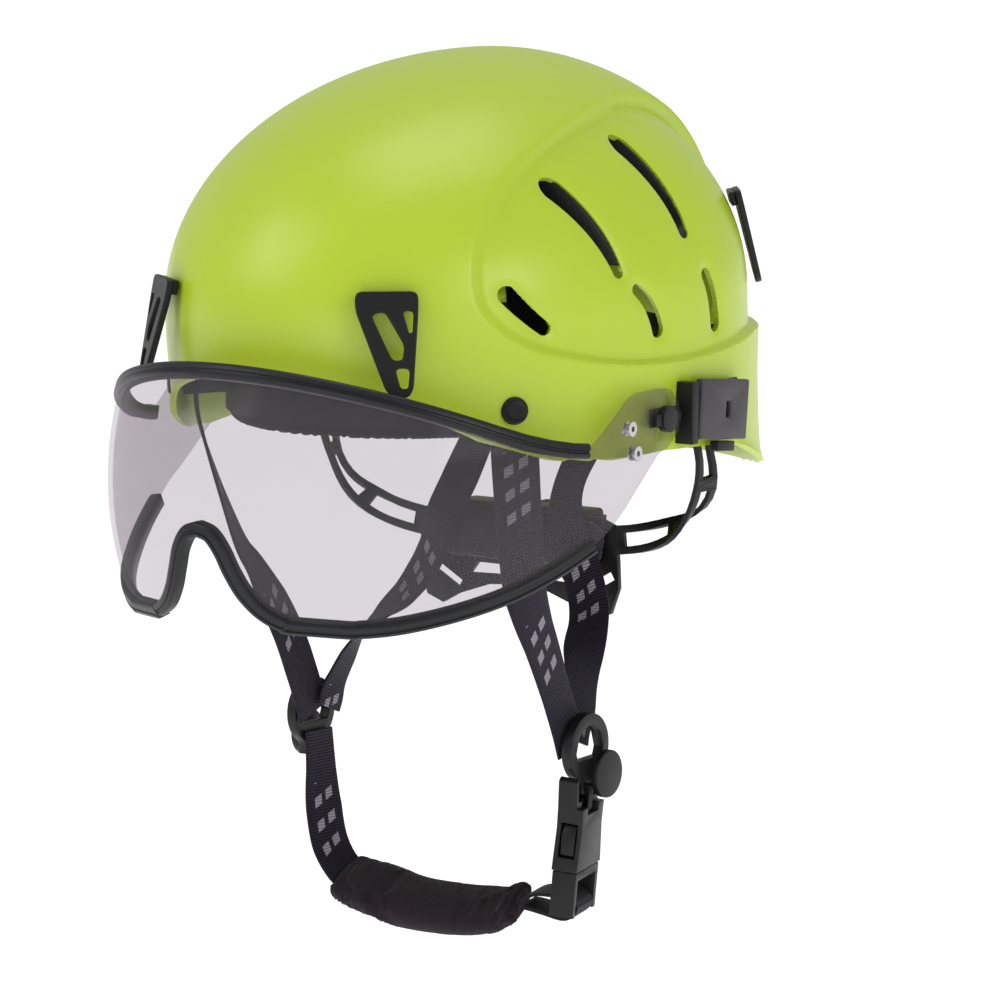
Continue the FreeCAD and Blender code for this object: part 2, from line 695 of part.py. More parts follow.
def visor_outline(top_drop, bottom_rise):
    """Side-view outline of the lens; the two shifts move its upper and lower edges."""
    top = [(y, z - top_drop) for y, z in (VISOR_TOP_CORNER, VISOR_TOP_FRONT)]
    bottom = [(y, z + bottom_rise) for y, z in VISOR_BOTTOM]
    return top + bottom + CHEEK


def make_visor():
    """Clear one-piece lens with its cheeks, rubber trims top and bottom, and four eyelets."""
    thick, wide, tall = size("lens_thick"), size("trim_wide"), size("trim_tall")
    pivot = Vector(0, size("pivot_back"), size("pivot_level"))
    lens = visor_shell(0.0, -thick).common(side_prism(visor_outline(0, 0))).cut(nose_cutter(0))
    bore = size("pivot_hub") + size("hub_clearance")
    lens = lens.cut(Part.makeCylinder(bore, 300, pivot - Vector(150, 0, 0), Vector(1, 0, 0)))
    lobe = tapered_slot((pivot.y + 3.2, pivot.z + 6.6), (pivot.y - 3.2, pivot.z - 6.6), 4.0, 4.0)
    lens = lens.cut(lobe.cut(Part.makeCylinder(bore, 300, pivot - Vector(150, 0, 0),
                                               Vector(1, 0, 0))))
    eyelets = [(-37.0, -3.6), (-33.0, -13.6)]
    rings = []
    for y, z in eyelets:
        lens = lens.cut(Part.makeCylinder(1.8, 300, Vector(-150, y, z), Vector(1, 0, 0)))
        for side in (-1, 1):
            start = Vector(side * (size("visor_cheek") - thick - 0.6), y, z)
            run = Vector(side, 0, 0)
            ring = Part.makeCylinder(1.8, thick + 1.2, start, run)
            for shift in (0.0, thick + 0.6):
                ring = ring.fuse(Part.makeCylinder(2.9, 0.6, start + run * shift, run))
            rings.append(ring.cut(Part.makeCylinder(1.1, 10, start - run * 2, run)))
    shape_part("visor_lens", lens)
    shape_part("visor_eyelets", Part.makeCompound(rings))

    band = visor_shell(wide, -thick - wide)
    upper = side_prism(visor_outline(-tall, 0)).cut(side_prism(visor_outline(tall, 0)))
    upper = upper.common(box(-200, 200, -210, -68, -60, 60))
    shape_part("visor_top_trim", band.common(upper).cut(lens))

    outer = side_prism(visor_outline(0, -tall)).cut(nose_cutter(-tall))
    inner = side_prism(visor_outline(0, tall)).cut(nose_cutter(tall))
    lower = outer.cut(inner).common(box(-200, 200, -210, -58, -90, -20))
    shape_part("visor_bottom_trim", band.common(lower).cut(lens))


# ---------------------------------------------------------------- harness
FRONT_STRAP = [Vector(76.6, -70.8, 11), Vector(76.4, -68.5, -12), Vector(70, -54, -57),
               Vector(66.5, -44, -75), Vector(64.3, -28, -100), Vector(64.1, -15, -126),
               Vector(64.3, -10, -139)]
FRONT_STRAP_ACROSS = [Vector(0.66, 0.75, 0), Vector(0.66, 0.75, 0), Vector(0.55, 0.84, 0),
                      Vector(0.4, 0.9, 0.1), Vector(0.1, 0.95, 0.3), Vector(0, 0.9, 0.3),
                      Vector(0, 0.95, 0.2)]
REAR_STRAP = [Vector(30, 86, 14), Vector(28, 68, -16), Vector(27, 46, -42), Vector(31, 38.2, -58),
              Vector(38, 38.6, -76), Vector(46, 32, -92), Vector(55, 13, -108),
              Vector(60.9, 3, -126), Vector(61.9, -2, -138)]
REAR_STRAP_ACROSS = [Vector(1, 0, 0), Vector(1, 0, 0), Vector(1, 0, 0), Vector(0.9, 0, 0.3),
                     Vector(0.8, 0.1, 0.5), Vector(0.7, 0.4, 0.6), Vector(0.2, 0.9, 0.4),
                     Vector(0, 0.9, 0.3), Vector(0, 0.95, 0.2)]


def make_side_straps():
    """Front and rear webbing legs that run from the helmet to the divider on each side."""
    wide, thick = size("web_wide"), size("web_thick")
    for name, side in SIDES.items():
        for label, points, across in (("front_strap_", FRONT_STRAP, FRONT_STRAP_ACROSS),
                                      ("rear_strap_", REAR_STRAP, REAR_STRAP_ACROSS)):
            narrowed = wide - (2.0 if label.startswith("rear") else 0.0)
            strap = ribbon(points, across, narrowed, thick, 2)
            shape_part(label + name, on_side(strap, side))


RING_CENTRE = Vector(68.4, -5.5, -139.0)
DISC_CENTRE = Vector(73.2, 0.5, -150.0)


def side_frame(side, point, turn=0.0):
    """Local X runs back, local Y up and local Z outward from the side of the head."""
    if side > 0:
        frame = Rotation(Vector(0, 1, 0), Vector(0, 0, 1), Vector(1, 0, 0), "ZXY")
    else:
        frame = Rotation(Vector(0, 1, 0), Vector(0, 0, -1), Vector(-1, 0, 0), "ZXY")
    swing = Rotation(Vector(0, 0, 1), turn)
    return Placement(Vector(side * point.x, point.y, point.z), swing.multiply(frame))


def make_dividers():
    """Strap dividers below the ears: a hoop with two web slots and a round locking disc."""
    for name, side in SIDES.items():
        up = side
        body = doc.addObject("PartDesign::Body", "divider_" + name)
        hoop = new_sketch(body, "Hoop" + name)
        draw_circle(hoop, (0, 0), "Dimensions.ring_radius")
        pad(body, hoop, "Dimensions.ring_thick", True)
        foot = new_sketch(body, "Foot" + name)
        draw_polygon(foot, [(-11, -7 * up), (11, -7 * up), (6, -14 * up), (6, -18 * up),
                            (-6, -18 * up), (-6, -14 * up)])
        pad(body, foot, "Dimensions.ring_thick", True)
        gate = new_sketch(body, "Gate" + name)
        draw_polygon(gate, [(-9.8, -1.0 * up), (-7.6, 5.6 * up), (-3.4, 9.0 * up), (3.4, 9.0 * up),
                            (7.6, 5.6 * up), (9.8, -1.0 * up), (8.5, -4.5 * up), (-8.5, -4.5 * up)])
        pocket(body, gate, "Dimensions.ring_thick * 3")
        slot = new_sketch(body, "Slot" + name)
        draw_polygon(slot, [(-4.4, -13.0 * up), (4.4, -13.0 * up), (4.4, -16.4 * up),
                            (-4.4, -16.4 * up)])
        pocket(body, slot, "Dimensions.ring_thick * 3")
        register(body, "divider_" + name, side_frame(side, RING_CENTRE))

        disc = doc.addObject("PartDesign::Body", "divider_disc_" + name)
        face = new_sketch(disc, "Disc" + name)
        draw_circle(face, (0, 0), "Dimensions.disc_radius")
        pad(disc, face, "Dimensions.disc_thick")
        register(disc, "divider_disc_" + name, side_frame(side, DISC_CENTRE))


# ---------------------------------------------------------------- buckle
BUCKLE_TOP = Vector(68.6, -7.0, -150.5)
BUCKLE_LEAN = 5.0
BUCKLE_TURN = 11.0


def buckle_place():
    """Local Z runs up the buckle, local X outward through its thickness, local Y across it."""
    lean = Rotation(Vector(0, 1, 0), BUCKLE_LEAN)
    turn = Rotation(Vector(0, 0, 1), BUCKLE_TURN)
    return Placement(BUCKLE_TOP, turn.multiply(lean))


def make_buckle():
    """Side-release buckle: socket, tongue with its webbing bar, and two sprung prongs."""
    wide, thick, long_ = size("socket_wide") / 2, size("socket_thick") / 2, size("socket_long")
    low = -long_
    outline = [(-wide, 0), (-wide + 1.5, -12), (-wide + 2, -20), (-wide + 0.8, -29), (-wide, low),
               (wide, low), (wide - 0.8, -29), (wide - 2, -20), (wide - 1.5, -12), (wide, 0),
               (10.9, 1.5), (9.6, -8.6), (-9.6, -8.6), (-10.9, 1.5)]
    profile = polygon_face([Vector(-thick, y, z) for y, z in outline])
    socket = profile.extrude(Vector(2 * thick, 0, 0))
    hollow = box(-3.6, 3.6, -10.4, 10.4, low - 1, -17.5)
    windows = box(-3.6, 3.6, -20, 20, -31.5, -17.5)
    loop_slot = box(-10, 10, -5.6, 5.6, -14.2, -11.2)
    relief = box(-10, 10, -5.6, 5.6, -14.2, -8.0).cut(box(-1.8, 1.8, -7, 7, -20, 0))
    relief = relief.fuse(box(2.6, 10, -20, 20, -11.0, 5))
    shape_part("buckle_socket", socket.cut(hollow).cut(windows).cut(loop_slot).cut(relief),
               buckle_place())

    link = box(-4.2, 4.0, -2.3, 2.3, -13.2, -3.0).cut(box(-3.6, 3.4, -5, 5, -12.6, -3.6))
    shape_part("buckle_link", link, buckle_place())

    seat = low - 0.5
    frame = box(-thick + 0.4, thick - 0.4, -12.2, 12.2, seat - 18.5, seat)
    frame = frame.cut(box(-10, 10, -9.6, 9.6, seat - 13.8, seat - 3.2))
    bar_relief = box(-10, -2.2, -9.6, 9.6, seat - 19, seat - 13)
    bar_relief = bar_relief.fuse(box(2.2, 10, -9.6, 9.6, seat - 19, seat - 13))
    frame = frame.cut(bar_relief).cut(box(-10, 10, -9.6, 9.6, seat - 19, seat - 17.6))
    guide = box(-2.6, 2.6, -2.2, 2.2, seat - 1, -18.2)
    shoulder = box(-3.2, 3.2, -9.9, 9.9, seat - 1, seat + 0.1)
    shape_part("buckle_tongue", fused([frame, guide, shoulder]), buckle_place())
    for label, hand in (("buckle_prong_front", -1.0), ("buckle_prong_rear", 1.0)):
        arm = [(6.2, seat + 0.4), (9.2, seat + 0.4), (9.2, -32.4), (11.3, -30.6), (11.3, -22.0),
               (9.0, -18.4), (6.6, -18.4), (6.2, -24.0)]
        points = [Vector(-3.0, hand * y, z) for y, z in arm]
        shape_part(label, polygon_face(points).extrude(Vector(6.0, 0, 0)), buckle_place())


# ---------------------------------------------------------------- chin
CHIN_STRAP = [Vector(-64.3, -5.5, -147), Vector(-63.2, -6, -160), Vector(-61.5, -6.5, -178),
              Vector(-57, -7, -196), Vector(-46, -7.5, -207.5), Vector(-22, -8, -211.5)]
CHIN_STRAP_ACROSS = [Vector(0, 1, 0), Vector(0.1, 0.98, 0), Vector(0.33, 0.95, 0),
                     Vector(0.3, 0.93, 0.2), Vector(0.1, 0.9, 0.4), Vector(0, 0.87, 0.5)]
PAD_PATH = [Vector(-49, -8, -207.2), Vector(-30, -8, -211.2), Vector(-4, -8, -212.5),
            Vector(20, -8, -210.8), Vector(39, -8, -206.6)]
PAD_WIDE = [23.0, 26.5, 27.0, 26.5, 22.0]
PAD_THICK = [9.0, 10.5, 11.0, 10.5, 8.5]
PAD_ACROSS = Vector(0, 0.87, 0.5)


def pad_section(centre, along, wide, thick):
    """A flat rounded section of the chin pad, as a closed spline."""
    side = (PAD_ACROSS - along * PAD_ACROSS.dot(along)).normalize()
    out = along.cross(side)
    points = []
    for step in range(12):
        angle = 2 * math.pi * step / 12
        u = math.copysign(abs(math.cos(angle)) ** 0.7, math.cos(angle))
        v = math.copysign(abs(math.sin(angle)) ** 0.7, math.sin(angle))
        points.append(centre + side * (u * wide / 2) + out * (v * thick / 2))
    return Part.Wire(smooth_edge(points, closed=True))


def make_chin():
    """Chin webbing, the soft sleeve round it, and the elastic loop on the buckle's bar."""
    shape_part("chin_strap", ribbon(CHIN_STRAP, CHIN_STRAP_ACROSS, size("web_wide") - 1,
                                    size("web_thick"), 2))
    sections = []
    for index, centre in enumerate(PAD_PATH):
        before = PAD_PATH[max(index - 1, 0)]
        after = PAD_PATH[min(index + 1, len(PAD_PATH) - 1)]
        sections.append(pad_section(centre, (after - before).normalize(), PAD_WIDE[index],
                                    PAD_THICK[index]))
    sleeve = Part.makeLoft(sections, True, False)
    strap = next(part for part in SUB_PARTS if part.Label == "chin_strap").Shape
    shape_part("chin_pad", sleeve.cut(strap))

    bar_level = -size("socket_long") - 0.5 - 15.7
    loop = [(-19.5, -1.0), (-12, 3.6), (-4.5, 4.3), (1.5, 4.3), (4.9, 0.4), (1.5, -4.1), (-5, -4.4),
            (-13, -3.4), (-19.5, -3.2)]
    points = [Vector(x, 0, bar_level + z) for x, z in loop]
    elastic = ribbon(points, [Vector(0, 1, 0)] * len(points), size("web_wide") - 2.0, 1.5, 3)
    shape_part("chin_elastic", elastic, buckle_place())


# ---------------------------------------------------------------- nape cradle
ARM_PATH = [Vector(92.5, 41, -12), Vector(94, 43, -24), Vector(93, 45.5, -37),
            Vector(87, 47, -48.5), Vector(76, 48, -56.5), Vector(62, 48.8, -61.5),
            Vector(47, 49.2, -64)]
ARM_ACROSS = [Vector(0, 1, 0), Vector(0, 1, 0), Vector(0.3, 1, 0.2), Vector(0.4, 0.8, 0.6),
              Vector(0.3, 0.45, 0.85), Vector(0.15, 0.15, 1), Vector(0, 0, 1)]
ARM_BRIDGES = (0.0, 0.3, 0.62, 1.0)
PLATE_BACK = 50.4


def arm_piece(shift, wide, start, end):
    """A run of the ladder arm: shifted across the arm, between two shares of its length."""
    return ribbon(ARM_PATH, ARM_ACROSS, wide, size("arm_thick"), 3, shift, start, end)


def make_nape_frame():
    """Moulded cradle: two ladder arms on eyes at the sides and the slotted plate they carry."""
    wide = size("arm_wide")
    rail = 3.2
    pieces = [arm_piece(wide / 2 - rail / 2, rail, 0, 1), arm_piece(rail / 2 - wide / 2, rail, 0, 1)]
    for share in ARM_BRIDGES:
        start = min(max(share - 0.035, 0.0), 0.93)
        pieces.append(arm_piece(0.0, wide - 1.0, start, start + 0.07))
    y, z = CRADLE_PIN_SPOT
    eye = Part.makeCylinder(6.5, 2.4, Vector(91.3, y, z), Vector(1, 0, 0))
    arm = fused(pieces + [eye]).cut(Part.makeCylinder(2.56, 20, Vector(84, y, z), Vector(1, 0, 0)))
    half = [(0, -55), (40, -55), (48, -58), (49.5, -72), (50, -84), (46, -95), (38, -98), (30, -93.5),
            (14, -88), (0, -87)]
    outline = half + [(-x, z) for x, z in reversed(half[1:-1])]
    thick = size("plate_thick")
    plate = polygon_face([Vector(x, PLATE_BACK - thick, z) for x, z in outline])
    plate = plate.extrude(Vector(0, thick, 0))
    lower_gap = polygon_face([Vector(x, PLATE_BACK - 10, z) for x, z in
                              [(-20, -79), (20, -79), (24, -84), (10, -83.5), (-10, -83.5), (-24, -84)]])
    plate = plate.cut(lower_gap.extrude(Vector(0, 20, 0)))
    for side in SIDES.values():
        slot = box(-10.5, 10.5, PLATE_BACK - 10, PLATE_BACK + 10, -1.9, 1.9)
        slot.rotate(Vector(), Vector(0, 1, 0), -30 * side)
        slot.translate(Vector(38 * side, 0, -84))
        plate = plate.cut(slot)
    screw_holes = [Part.makeCylinder(1.4, 20, Vector(x, PLATE_BACK - 10, -66), Vector(0, 1, 0))
                   for x in (-24, 24)]
    plate = plate.cut(screw_holes[0].fuse(screw_holes[1]))
    shape_part("nape_frame", fused([plate, arm, mirrored(arm)]))


def make_nape_pad():
    """Soft pad on the head side of the plate, with rounded corners."""
    y = PLATE_BACK - size("plate_thick") - 0.2
    half = [(0, -56.5), (39, -56.5), (44, -61), (43, -71), (38, -76), (0, -76)]
    outline = half + [(-x, z) for x, z in reversed(half[1:-1])]
    cushion = polygon_face([Vector(x, y - 6.5, z) for x, z in outline]).extrude(Vector(0, 6.5, 0))
    edges = [e for e in cushion.Edges if abs(e.CenterOfMass.y - (y - 6.5)) < 1e-6]
    shape_part("nape_pad", cushion.makeFillet(1.8, edges))


def tooth_profile(height_up, height_down, half_at_pitch, slope=math.tan(math.radians(20))):
    """Half widths of a rack tooth at its tip and at its root."""
    return half_at_pitch - height_up * slope, half_at_pitch + height_down * slope


RACK_TEETH = 13
RACK_DEPTH = 3.2
GEAR_CENTRE = Vector(0, 58.0, -66.0)


def make_rack(name, side):
    """A toothed strip that the size wheel's pinion draws in; teeth face the pinion."""
    module = size("gear_module")
    pitch_radius = module * size("gear_teeth") / 2
    pitch = math.pi * module
    tip, root = tooth_profile(0.9 * module, 1.2 * module, pitch / 4 - 0.12)
    upward = side
    base = pitch_radius + 1.2 * module
    points = []
    first = -RACK_TEETH // 2 + 1
    start = (first - 0.5) * pitch
    end = start + RACK_TEETH * pitch
    points.append((start, base))
    for number in range(RACK_TEETH):
        middle = start + (number + 0.5) * pitch
        points += [(middle - root, base), (middle - tip, pitch_radius - 0.9 * module),
                   (middle + tip, pitch_radius - 0.9 * module), (middle + root, base)]
    points += [(end, base), (end + 16.0, base), (end + 16.0, base + RACK_DEPTH),
               (start, base + RACK_DEPTH)]
    face = polygon_face([Vector(GEAR_CENTRE.x + side * x, GEAR_CENTRE.y - 2.0,
                                GEAR_CENTRE.z + upward * h) for x, h in points])
    shape_part("adjuster_rack_" + name, face.extrude(Vector(0, 4.0, 0)))


def gear_outline(teeth, module, backlash):
    """Straight-flanked teeth that roll on the racks, as plan points about the axle."""
    pitch_radius = module * teeth / 2
    points = []
    for number in range(int(teeth)):
        middle = 2 * math.pi * number / teeth
        for radius, half in ((pitch_radius - 1.15 * module, 0.80), (pitch_radius, 0.785),
                             (pitch_radius + 0.85 * module, 0.36)):
            points.append((radius, middle - (half * module - backlash) / radius))
        for radius, half in ((pitch_radius + 0.85 * module, 0.36), (pitch_radius, 0.785),
                             (pitch_radius - 1.15 * module, 0.80)):
            points.append((radius, middle + (half * module - backlash) / radius))
    return [(radius * math.cos(angle), radius * math.sin(angle)) for radius, angle in points]


def make_adjuster():
    """Size adjuster behind the plate: housing, knurled wheel, pinion and the two racks."""
    for name, side in SIDES.items():
        make_rack(name, side)
    teeth, module = size("gear_teeth"), size("gear_module")
    profile = gear_outline(teeth, module, 0.10)
    turn = math.pi / 2 - math.pi / teeth
    spun = [(x * math.cos(turn) - z * math.sin(turn), x * math.sin(turn) + z * math.cos(turn))
            for x, z in profile]
    pinion = polygon_face([Vector(x, -2.2, z) for x, z in spun]).extrude(Vector(0, 4.4, 0))
    axle = Part.makeCylinder(2.5, 14.0, Vector(0, -5.4, 0), Vector(0, 1, 0))
    pinion = pinion.fuse(axle)
    pinion.translate(GEAR_CENTRE)
    shape_part("adjuster_pinion", pinion)

    centre = GEAR_CENTRE
    back, front = PLATE_BACK + 0.2, centre.y + 5.0
    case = box(-33, 33, back, front, centre.z - 12.5, centre.z + 12.5)
    upright = [e for e in case.Edges if e.BoundBox.YLength > front - back - 1e-3]
    case = case.makeFillet(2.0, upright)
    room = box(-32, 32, centre.y - 2.4, centre.y + 2.4, centre.z - 10.8, centre.z + 10.8)
    mouths = box(-40, 40, centre.y - 2.4, centre.y + 2.4, centre.z + 6.9, centre.z + 10.8)
    mouths = mouths.fuse(box(-40, 40, centre.y - 2.4, centre.y + 2.4, centre.z - 10.8,
                             centre.z - 6.9))
    bore = Part.makeCylinder(2.56, 30, centre - Vector(0, 6.0, 0), Vector(0, 1, 0))
    shape_part("adjuster_housing", case.cut(room).cut(mouths).cut(bore))

    wheel = doc.addObject("PartDesign::Body", "adjuster_wheel")
    rim = new_sketch(wheel, "WheelRim")
    draw_circle(rim, (0, 0), "Dimensions.wheel_radius")
    draw_circle(rim, (0, 0), "2.45")
    pad(wheel, rim, "Dimensions.wheel_thick")
    flute = new_sketch(wheel, "WheelFlute", offset=size("wheel_thick") / 2)
    draw_circle(flute, (size("wheel_radius") + 0.9, 0), "1.6")
    cut = pocket(wheel, flute, "Dimensions.wheel_thick * 3")
    ring = wheel.newObject("PartDesign::PolarPattern", "WheelFlutes")
    ring.Originals = [cut]
    ring.Axis = (flute, ["N_Axis"])
    ring.Angle = 360
    ring.Occurrences = 18
    wheel.Tip = ring
    place = Placement(centre + Vector(0, 5.3, 0), Rotation(Vector(1, 0, 0), -90))
    register(wheel, "adjuster_wheel", place)


def make_cradle_pins():
    """Headed pins on the inside of the shell that the cradle's eyes swing on."""
    y, z = CRADLE_PIN_SPOT
    pins = []
    for side in SIDES.values():
        shank = Part.makeCylinder(2.5, 18, Vector(90.2, y, z), Vector(1, 0, 0))
        head = Part.makeCylinder(4.2, 1.4, Vector(89.2, y, z), Vector(1, 0, 0))
        flange = Part.makeCylinder(6.0, 14, Vector(94.4, y, z), Vector(1, 0, 0))
        pin = shank.fuse(head).fuse(flange).common(crown_dome(size("shell_wall") + 0.15))
        pins.append(on_side(pin, side))
    shape_part("cradle_pins", Part.makeCompound(pins))


# ---------------------------------------------------------------- assembly
shell_part = make_shell()
SHELL_SOLID.append(shell_part.Shape)
make_liner()
make_headband()
make_suspension()
make_strap_buttons()
make_lamp_clips()
make_adapters()
make_visor_knobs()
make_visor()
make_side_straps()
make_dividers()
make_buckle()
make_chin()
make_nape_frame()
make_nape_pad()
make_adjuster()
make_cradle_pins()
doc.recompute()

for obj in doc.Objects:
    if "Invalid" in obj.State or "Error" in obj.State:
        raise RuntimeError("%s did not recompute: %s" % (obj.Name, obj.State))
for obj in SUB_PARTS:
    if obj.Shape.isNull() or not obj.Shape.isValid():
        raise RuntimeError("%s has no valid shape" % obj.Label)

os.makedirs("parts", exist_ok=True)
for obj in SUB_PARTS:
    obj.Shape.exportStep(os.path.join("parts", obj.Label + ".step"))
    box_ = obj.Shape.BoundBox
    print("%-24s solids %d volume %9.1f  x %7.1f %7.1f  y %7.1f %7.1f  z %7.1f %7.1f" % (
        obj.Label, len(obj.Shape.Solids), obj.Shape.Volume, box_.XMin, box_.XMax,
        box_.YMin, box_.YMax, box_.ZMin, box_.ZMax))
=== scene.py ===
import json
import math

import bmesh
import bpy
import numpy as np
from mathutils import Matrix, Vector
from mathutils.kdtree import KDTree

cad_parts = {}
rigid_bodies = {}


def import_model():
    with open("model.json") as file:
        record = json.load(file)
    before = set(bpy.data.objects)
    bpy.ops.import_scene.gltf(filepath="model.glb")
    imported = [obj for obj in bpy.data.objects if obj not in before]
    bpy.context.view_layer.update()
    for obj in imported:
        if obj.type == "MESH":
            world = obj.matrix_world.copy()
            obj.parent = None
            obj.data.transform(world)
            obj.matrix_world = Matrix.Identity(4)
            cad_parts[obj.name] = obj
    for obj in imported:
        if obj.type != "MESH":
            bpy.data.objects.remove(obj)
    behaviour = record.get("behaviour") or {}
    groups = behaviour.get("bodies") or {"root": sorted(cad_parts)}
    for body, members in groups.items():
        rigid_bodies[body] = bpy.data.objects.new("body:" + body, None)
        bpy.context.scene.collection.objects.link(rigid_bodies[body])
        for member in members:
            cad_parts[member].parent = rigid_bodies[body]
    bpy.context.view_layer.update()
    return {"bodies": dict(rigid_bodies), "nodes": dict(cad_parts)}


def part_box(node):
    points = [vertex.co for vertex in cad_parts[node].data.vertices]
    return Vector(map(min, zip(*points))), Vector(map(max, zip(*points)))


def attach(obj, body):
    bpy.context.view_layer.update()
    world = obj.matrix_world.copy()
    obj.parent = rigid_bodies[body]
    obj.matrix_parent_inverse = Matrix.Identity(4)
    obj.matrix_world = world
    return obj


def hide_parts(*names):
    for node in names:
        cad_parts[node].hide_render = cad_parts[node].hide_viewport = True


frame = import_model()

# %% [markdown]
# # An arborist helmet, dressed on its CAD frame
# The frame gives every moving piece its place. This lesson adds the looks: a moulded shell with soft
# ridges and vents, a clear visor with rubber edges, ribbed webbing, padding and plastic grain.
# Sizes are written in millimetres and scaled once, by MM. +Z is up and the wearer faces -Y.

MM = 0.001

# %% [markdown]
# ## Camera, lights and floor
# A helmet is usually shown on white, lit softly from all round. The camera looks from the wearer's
# left front, a little above the brim, and a long lens keeps the dome's outline calm. Small lamps
# would put hard sparks on the shell, so four big square ones are used. The floor is so wide that its
# far edge stays out of the main view.

# %% Camera
AZIMUTH, ELEVATION = math.radians(34.0), math.radians(8.51)
AIM = Vector((1.45, 29.0, -46.46)) * MM
back = Vector((math.sin(AZIMUTH) * math.cos(ELEVATION), -math.cos(AZIMUTH) * math.cos(ELEVATION),
               math.sin(ELEVATION)))
camera = bpy.data.objects.new("camera", bpy.data.cameras.new("camera"))
bpy.context.scene.collection.objects.link(camera)
camera.data.sensor_width = 36.0
camera.data.lens = 152.03
camera.data.clip_start, camera.data.clip_end = 0.05, 50
camera.location = AIM + back * 1.73
camera.rotation_euler = (-back).to_track_quat("-Z", "Y").to_euler()
bpy.context.scene.camera = camera
bpy.context.scene.view_settings.view_transform = "Standard"
print("camera at", [round(v, 3) for v in camera.location])

# %% Lamps, world and floor
def lamp(name, place, size, power):
    """A square soft light that faces the helmet."""
    data = bpy.data.lights.new(name, "AREA")
    data.shape, data.size, data.energy = "SQUARE", size, power
    obj = bpy.data.objects.new(name, data)
    obj.location = place
    obj.rotation_euler = (Vector((0, 0, -0.03)) - Vector(place)).to_track_quat("-Z", "Y").to_euler()
    bpy.context.scene.collection.objects.link(obj)
    return obj


lamp("key", (-0.9, -1.5, 1.3), 1.3, 12)
lamp("side", (1.9, -0.3, 0.6), 0.8, 7)
lamp("top", (0.1, 0.2, 1.9), 1.1, 8)
lamp("low_front", (0.5, -1.7, -0.25), 0.8, 2)
world = bpy.data.worlds.new("studio")
bpy.context.scene.world = world
world.use_nodes = True
world.node_tree.nodes["Background"].inputs["Color"].default_value = (1, 1, 1, 1)
world.node_tree.nodes["Background"].inputs["Strength"].default_value = 0.55
bpy.ops.mesh.primitive_plane_add(size=160, location=(0, 0, -0.62))
floor = bpy.context.object
floor.name = "floor"
print("four lamps and a floor")

# %% [markdown]
# ## Materials
# The helmet has a handful of finishes: moulded plastic, rubber, foam, textile, webbing and a clear
# lens. Picture textures could carry their grain, but they need unwrapping and stay at one size. Each
# finish here is a small node tree instead: a base colour that drifts slowly, roughness that wanders,
# and a fine bump. Colours are linear.

# %% Material builder
def new_material(name):
    material = bpy.data.materials.new(name)
    material.use_nodes = True
    tree = material.node_tree
    return material, tree, tree.nodes["Principled BSDF"]


def node(tree, kind, **values):
    made = tree.nodes.new(kind)
    for key, value in values.items():
        if hasattr(made, key):
            setattr(made, key, value)
        else:
            made.inputs[key.replace("_", " ")].default_value = value
    return made


def noise(tree, scale, detail=4.0, rough=0.5, vector=None):
    made = node(tree, "ShaderNodeTexNoise", Scale=scale, Detail=detail, Roughness=rough)
    if vector is None:
        vector = node(tree, "ShaderNodeTexCoord").outputs["Object"]
    tree.links.new(vector, made.inputs["Vector"])
    return made


def spread(tree, value, low, high):
    """Maps a 0 to 1 value onto low to high."""
    made = node(tree, "ShaderNodeMapRange")
    made.inputs["To Min"].default_value = low
    made.inputs["To Max"].default_value = high
    tree.links.new(value, made.inputs["Value"])
    return made.outputs["Result"]


def bump(tree, shader, height, strength, distance):
    made = node(tree, "ShaderNodeBump", Strength=strength, Distance=distance)
    tree.links.new(height, made.inputs["Height"])
    tree.links.new(made.outputs["Normal"], shader.inputs["Normal"])
    return made


# %% [markdown]
# Most parts are moulded plastic. Real tools leave a fine spark-eroded grain on it. Modelling the
# grain would be far too heavy, so a bump from fine noise stands for it, and a little coat adds gloss.

# %% Moulded plastic
def plastic(name, colour, rough, grain_scale, grain_depth, coat=0.0, other=None, speck=0.06,
            shine=0.5):
    """Moulded plastic: slow colour drift, wandering gloss and a fine spark-eroded grain."""
    material, tree, shader = new_material(name)
    slow = noise(tree, 9, 3)
    ramp = node(tree, "ShaderNodeMix", data_type="RGBA")
    dark = other or tuple(c * (1 - speck) for c in colour)
    ramp.inputs["A"].default_value = (*dark, 1)
    ramp.inputs["B"].default_value = (*colour, 1)
    tree.links.new(slow.outputs["Fac"], ramp.inputs["Factor"])
    tree.links.new(ramp.outputs["Result"], shader.inputs["Base Color"])
    wander = noise(tree, 60, 5)
    tree.links.new(spread(tree, wander.outputs["Fac"], rough - 0.06, rough + 0.06),
                   shader.inputs["Roughness"])
    grain = noise(tree, grain_scale, 3)
    bump(tree, shader, grain.outputs["Fac"], 0.35, grain_depth)
    shader.inputs["Coat Weight"].default_value = coat
    shader.inputs["Coat Roughness"].default_value = 0.25
    shader.inputs["Specular IOR Level"].default_value = shine
    return material


# %% [markdown]
# The liner is foam made of fused beads. A cell pattern gives both the bead outlines and the height
# between them.

# %% Foam
def foam(name, colour):
    """Expanded beads: a cell pattern in colour and height."""
    material, tree, shader = new_material(name)
    cells = node(tree, "ShaderNodeTexVoronoi", Scale=420.0)
    tree.links.new(node(tree, "ShaderNodeTexCoord").outputs["Object"], cells.inputs["Vector"])
    ramp = node(tree, "ShaderNodeMix", data_type="RGBA")
    ramp.inputs["A"].default_value = (*colour, 1)
    ramp.inputs["B"].default_value = (*(c * 0.5 for c in colour), 1)
    tree.links.new(cells.outputs["Distance"], ramp.inputs["Factor"])
    tree.links.new(ramp.outputs["Result"], shader.inputs["Base Color"])
    shader.inputs["Roughness"].default_value = 0.8
    bump(tree, shader, cells.outputs["Distance"], 0.5, 0.0004)
    return material


# %% [markdown]
# The pads are covered in brushed textile. Two crossed waves stand for the threads and noise for the
# tufts; a faint sheen lifts the edges, as loose fibres do.

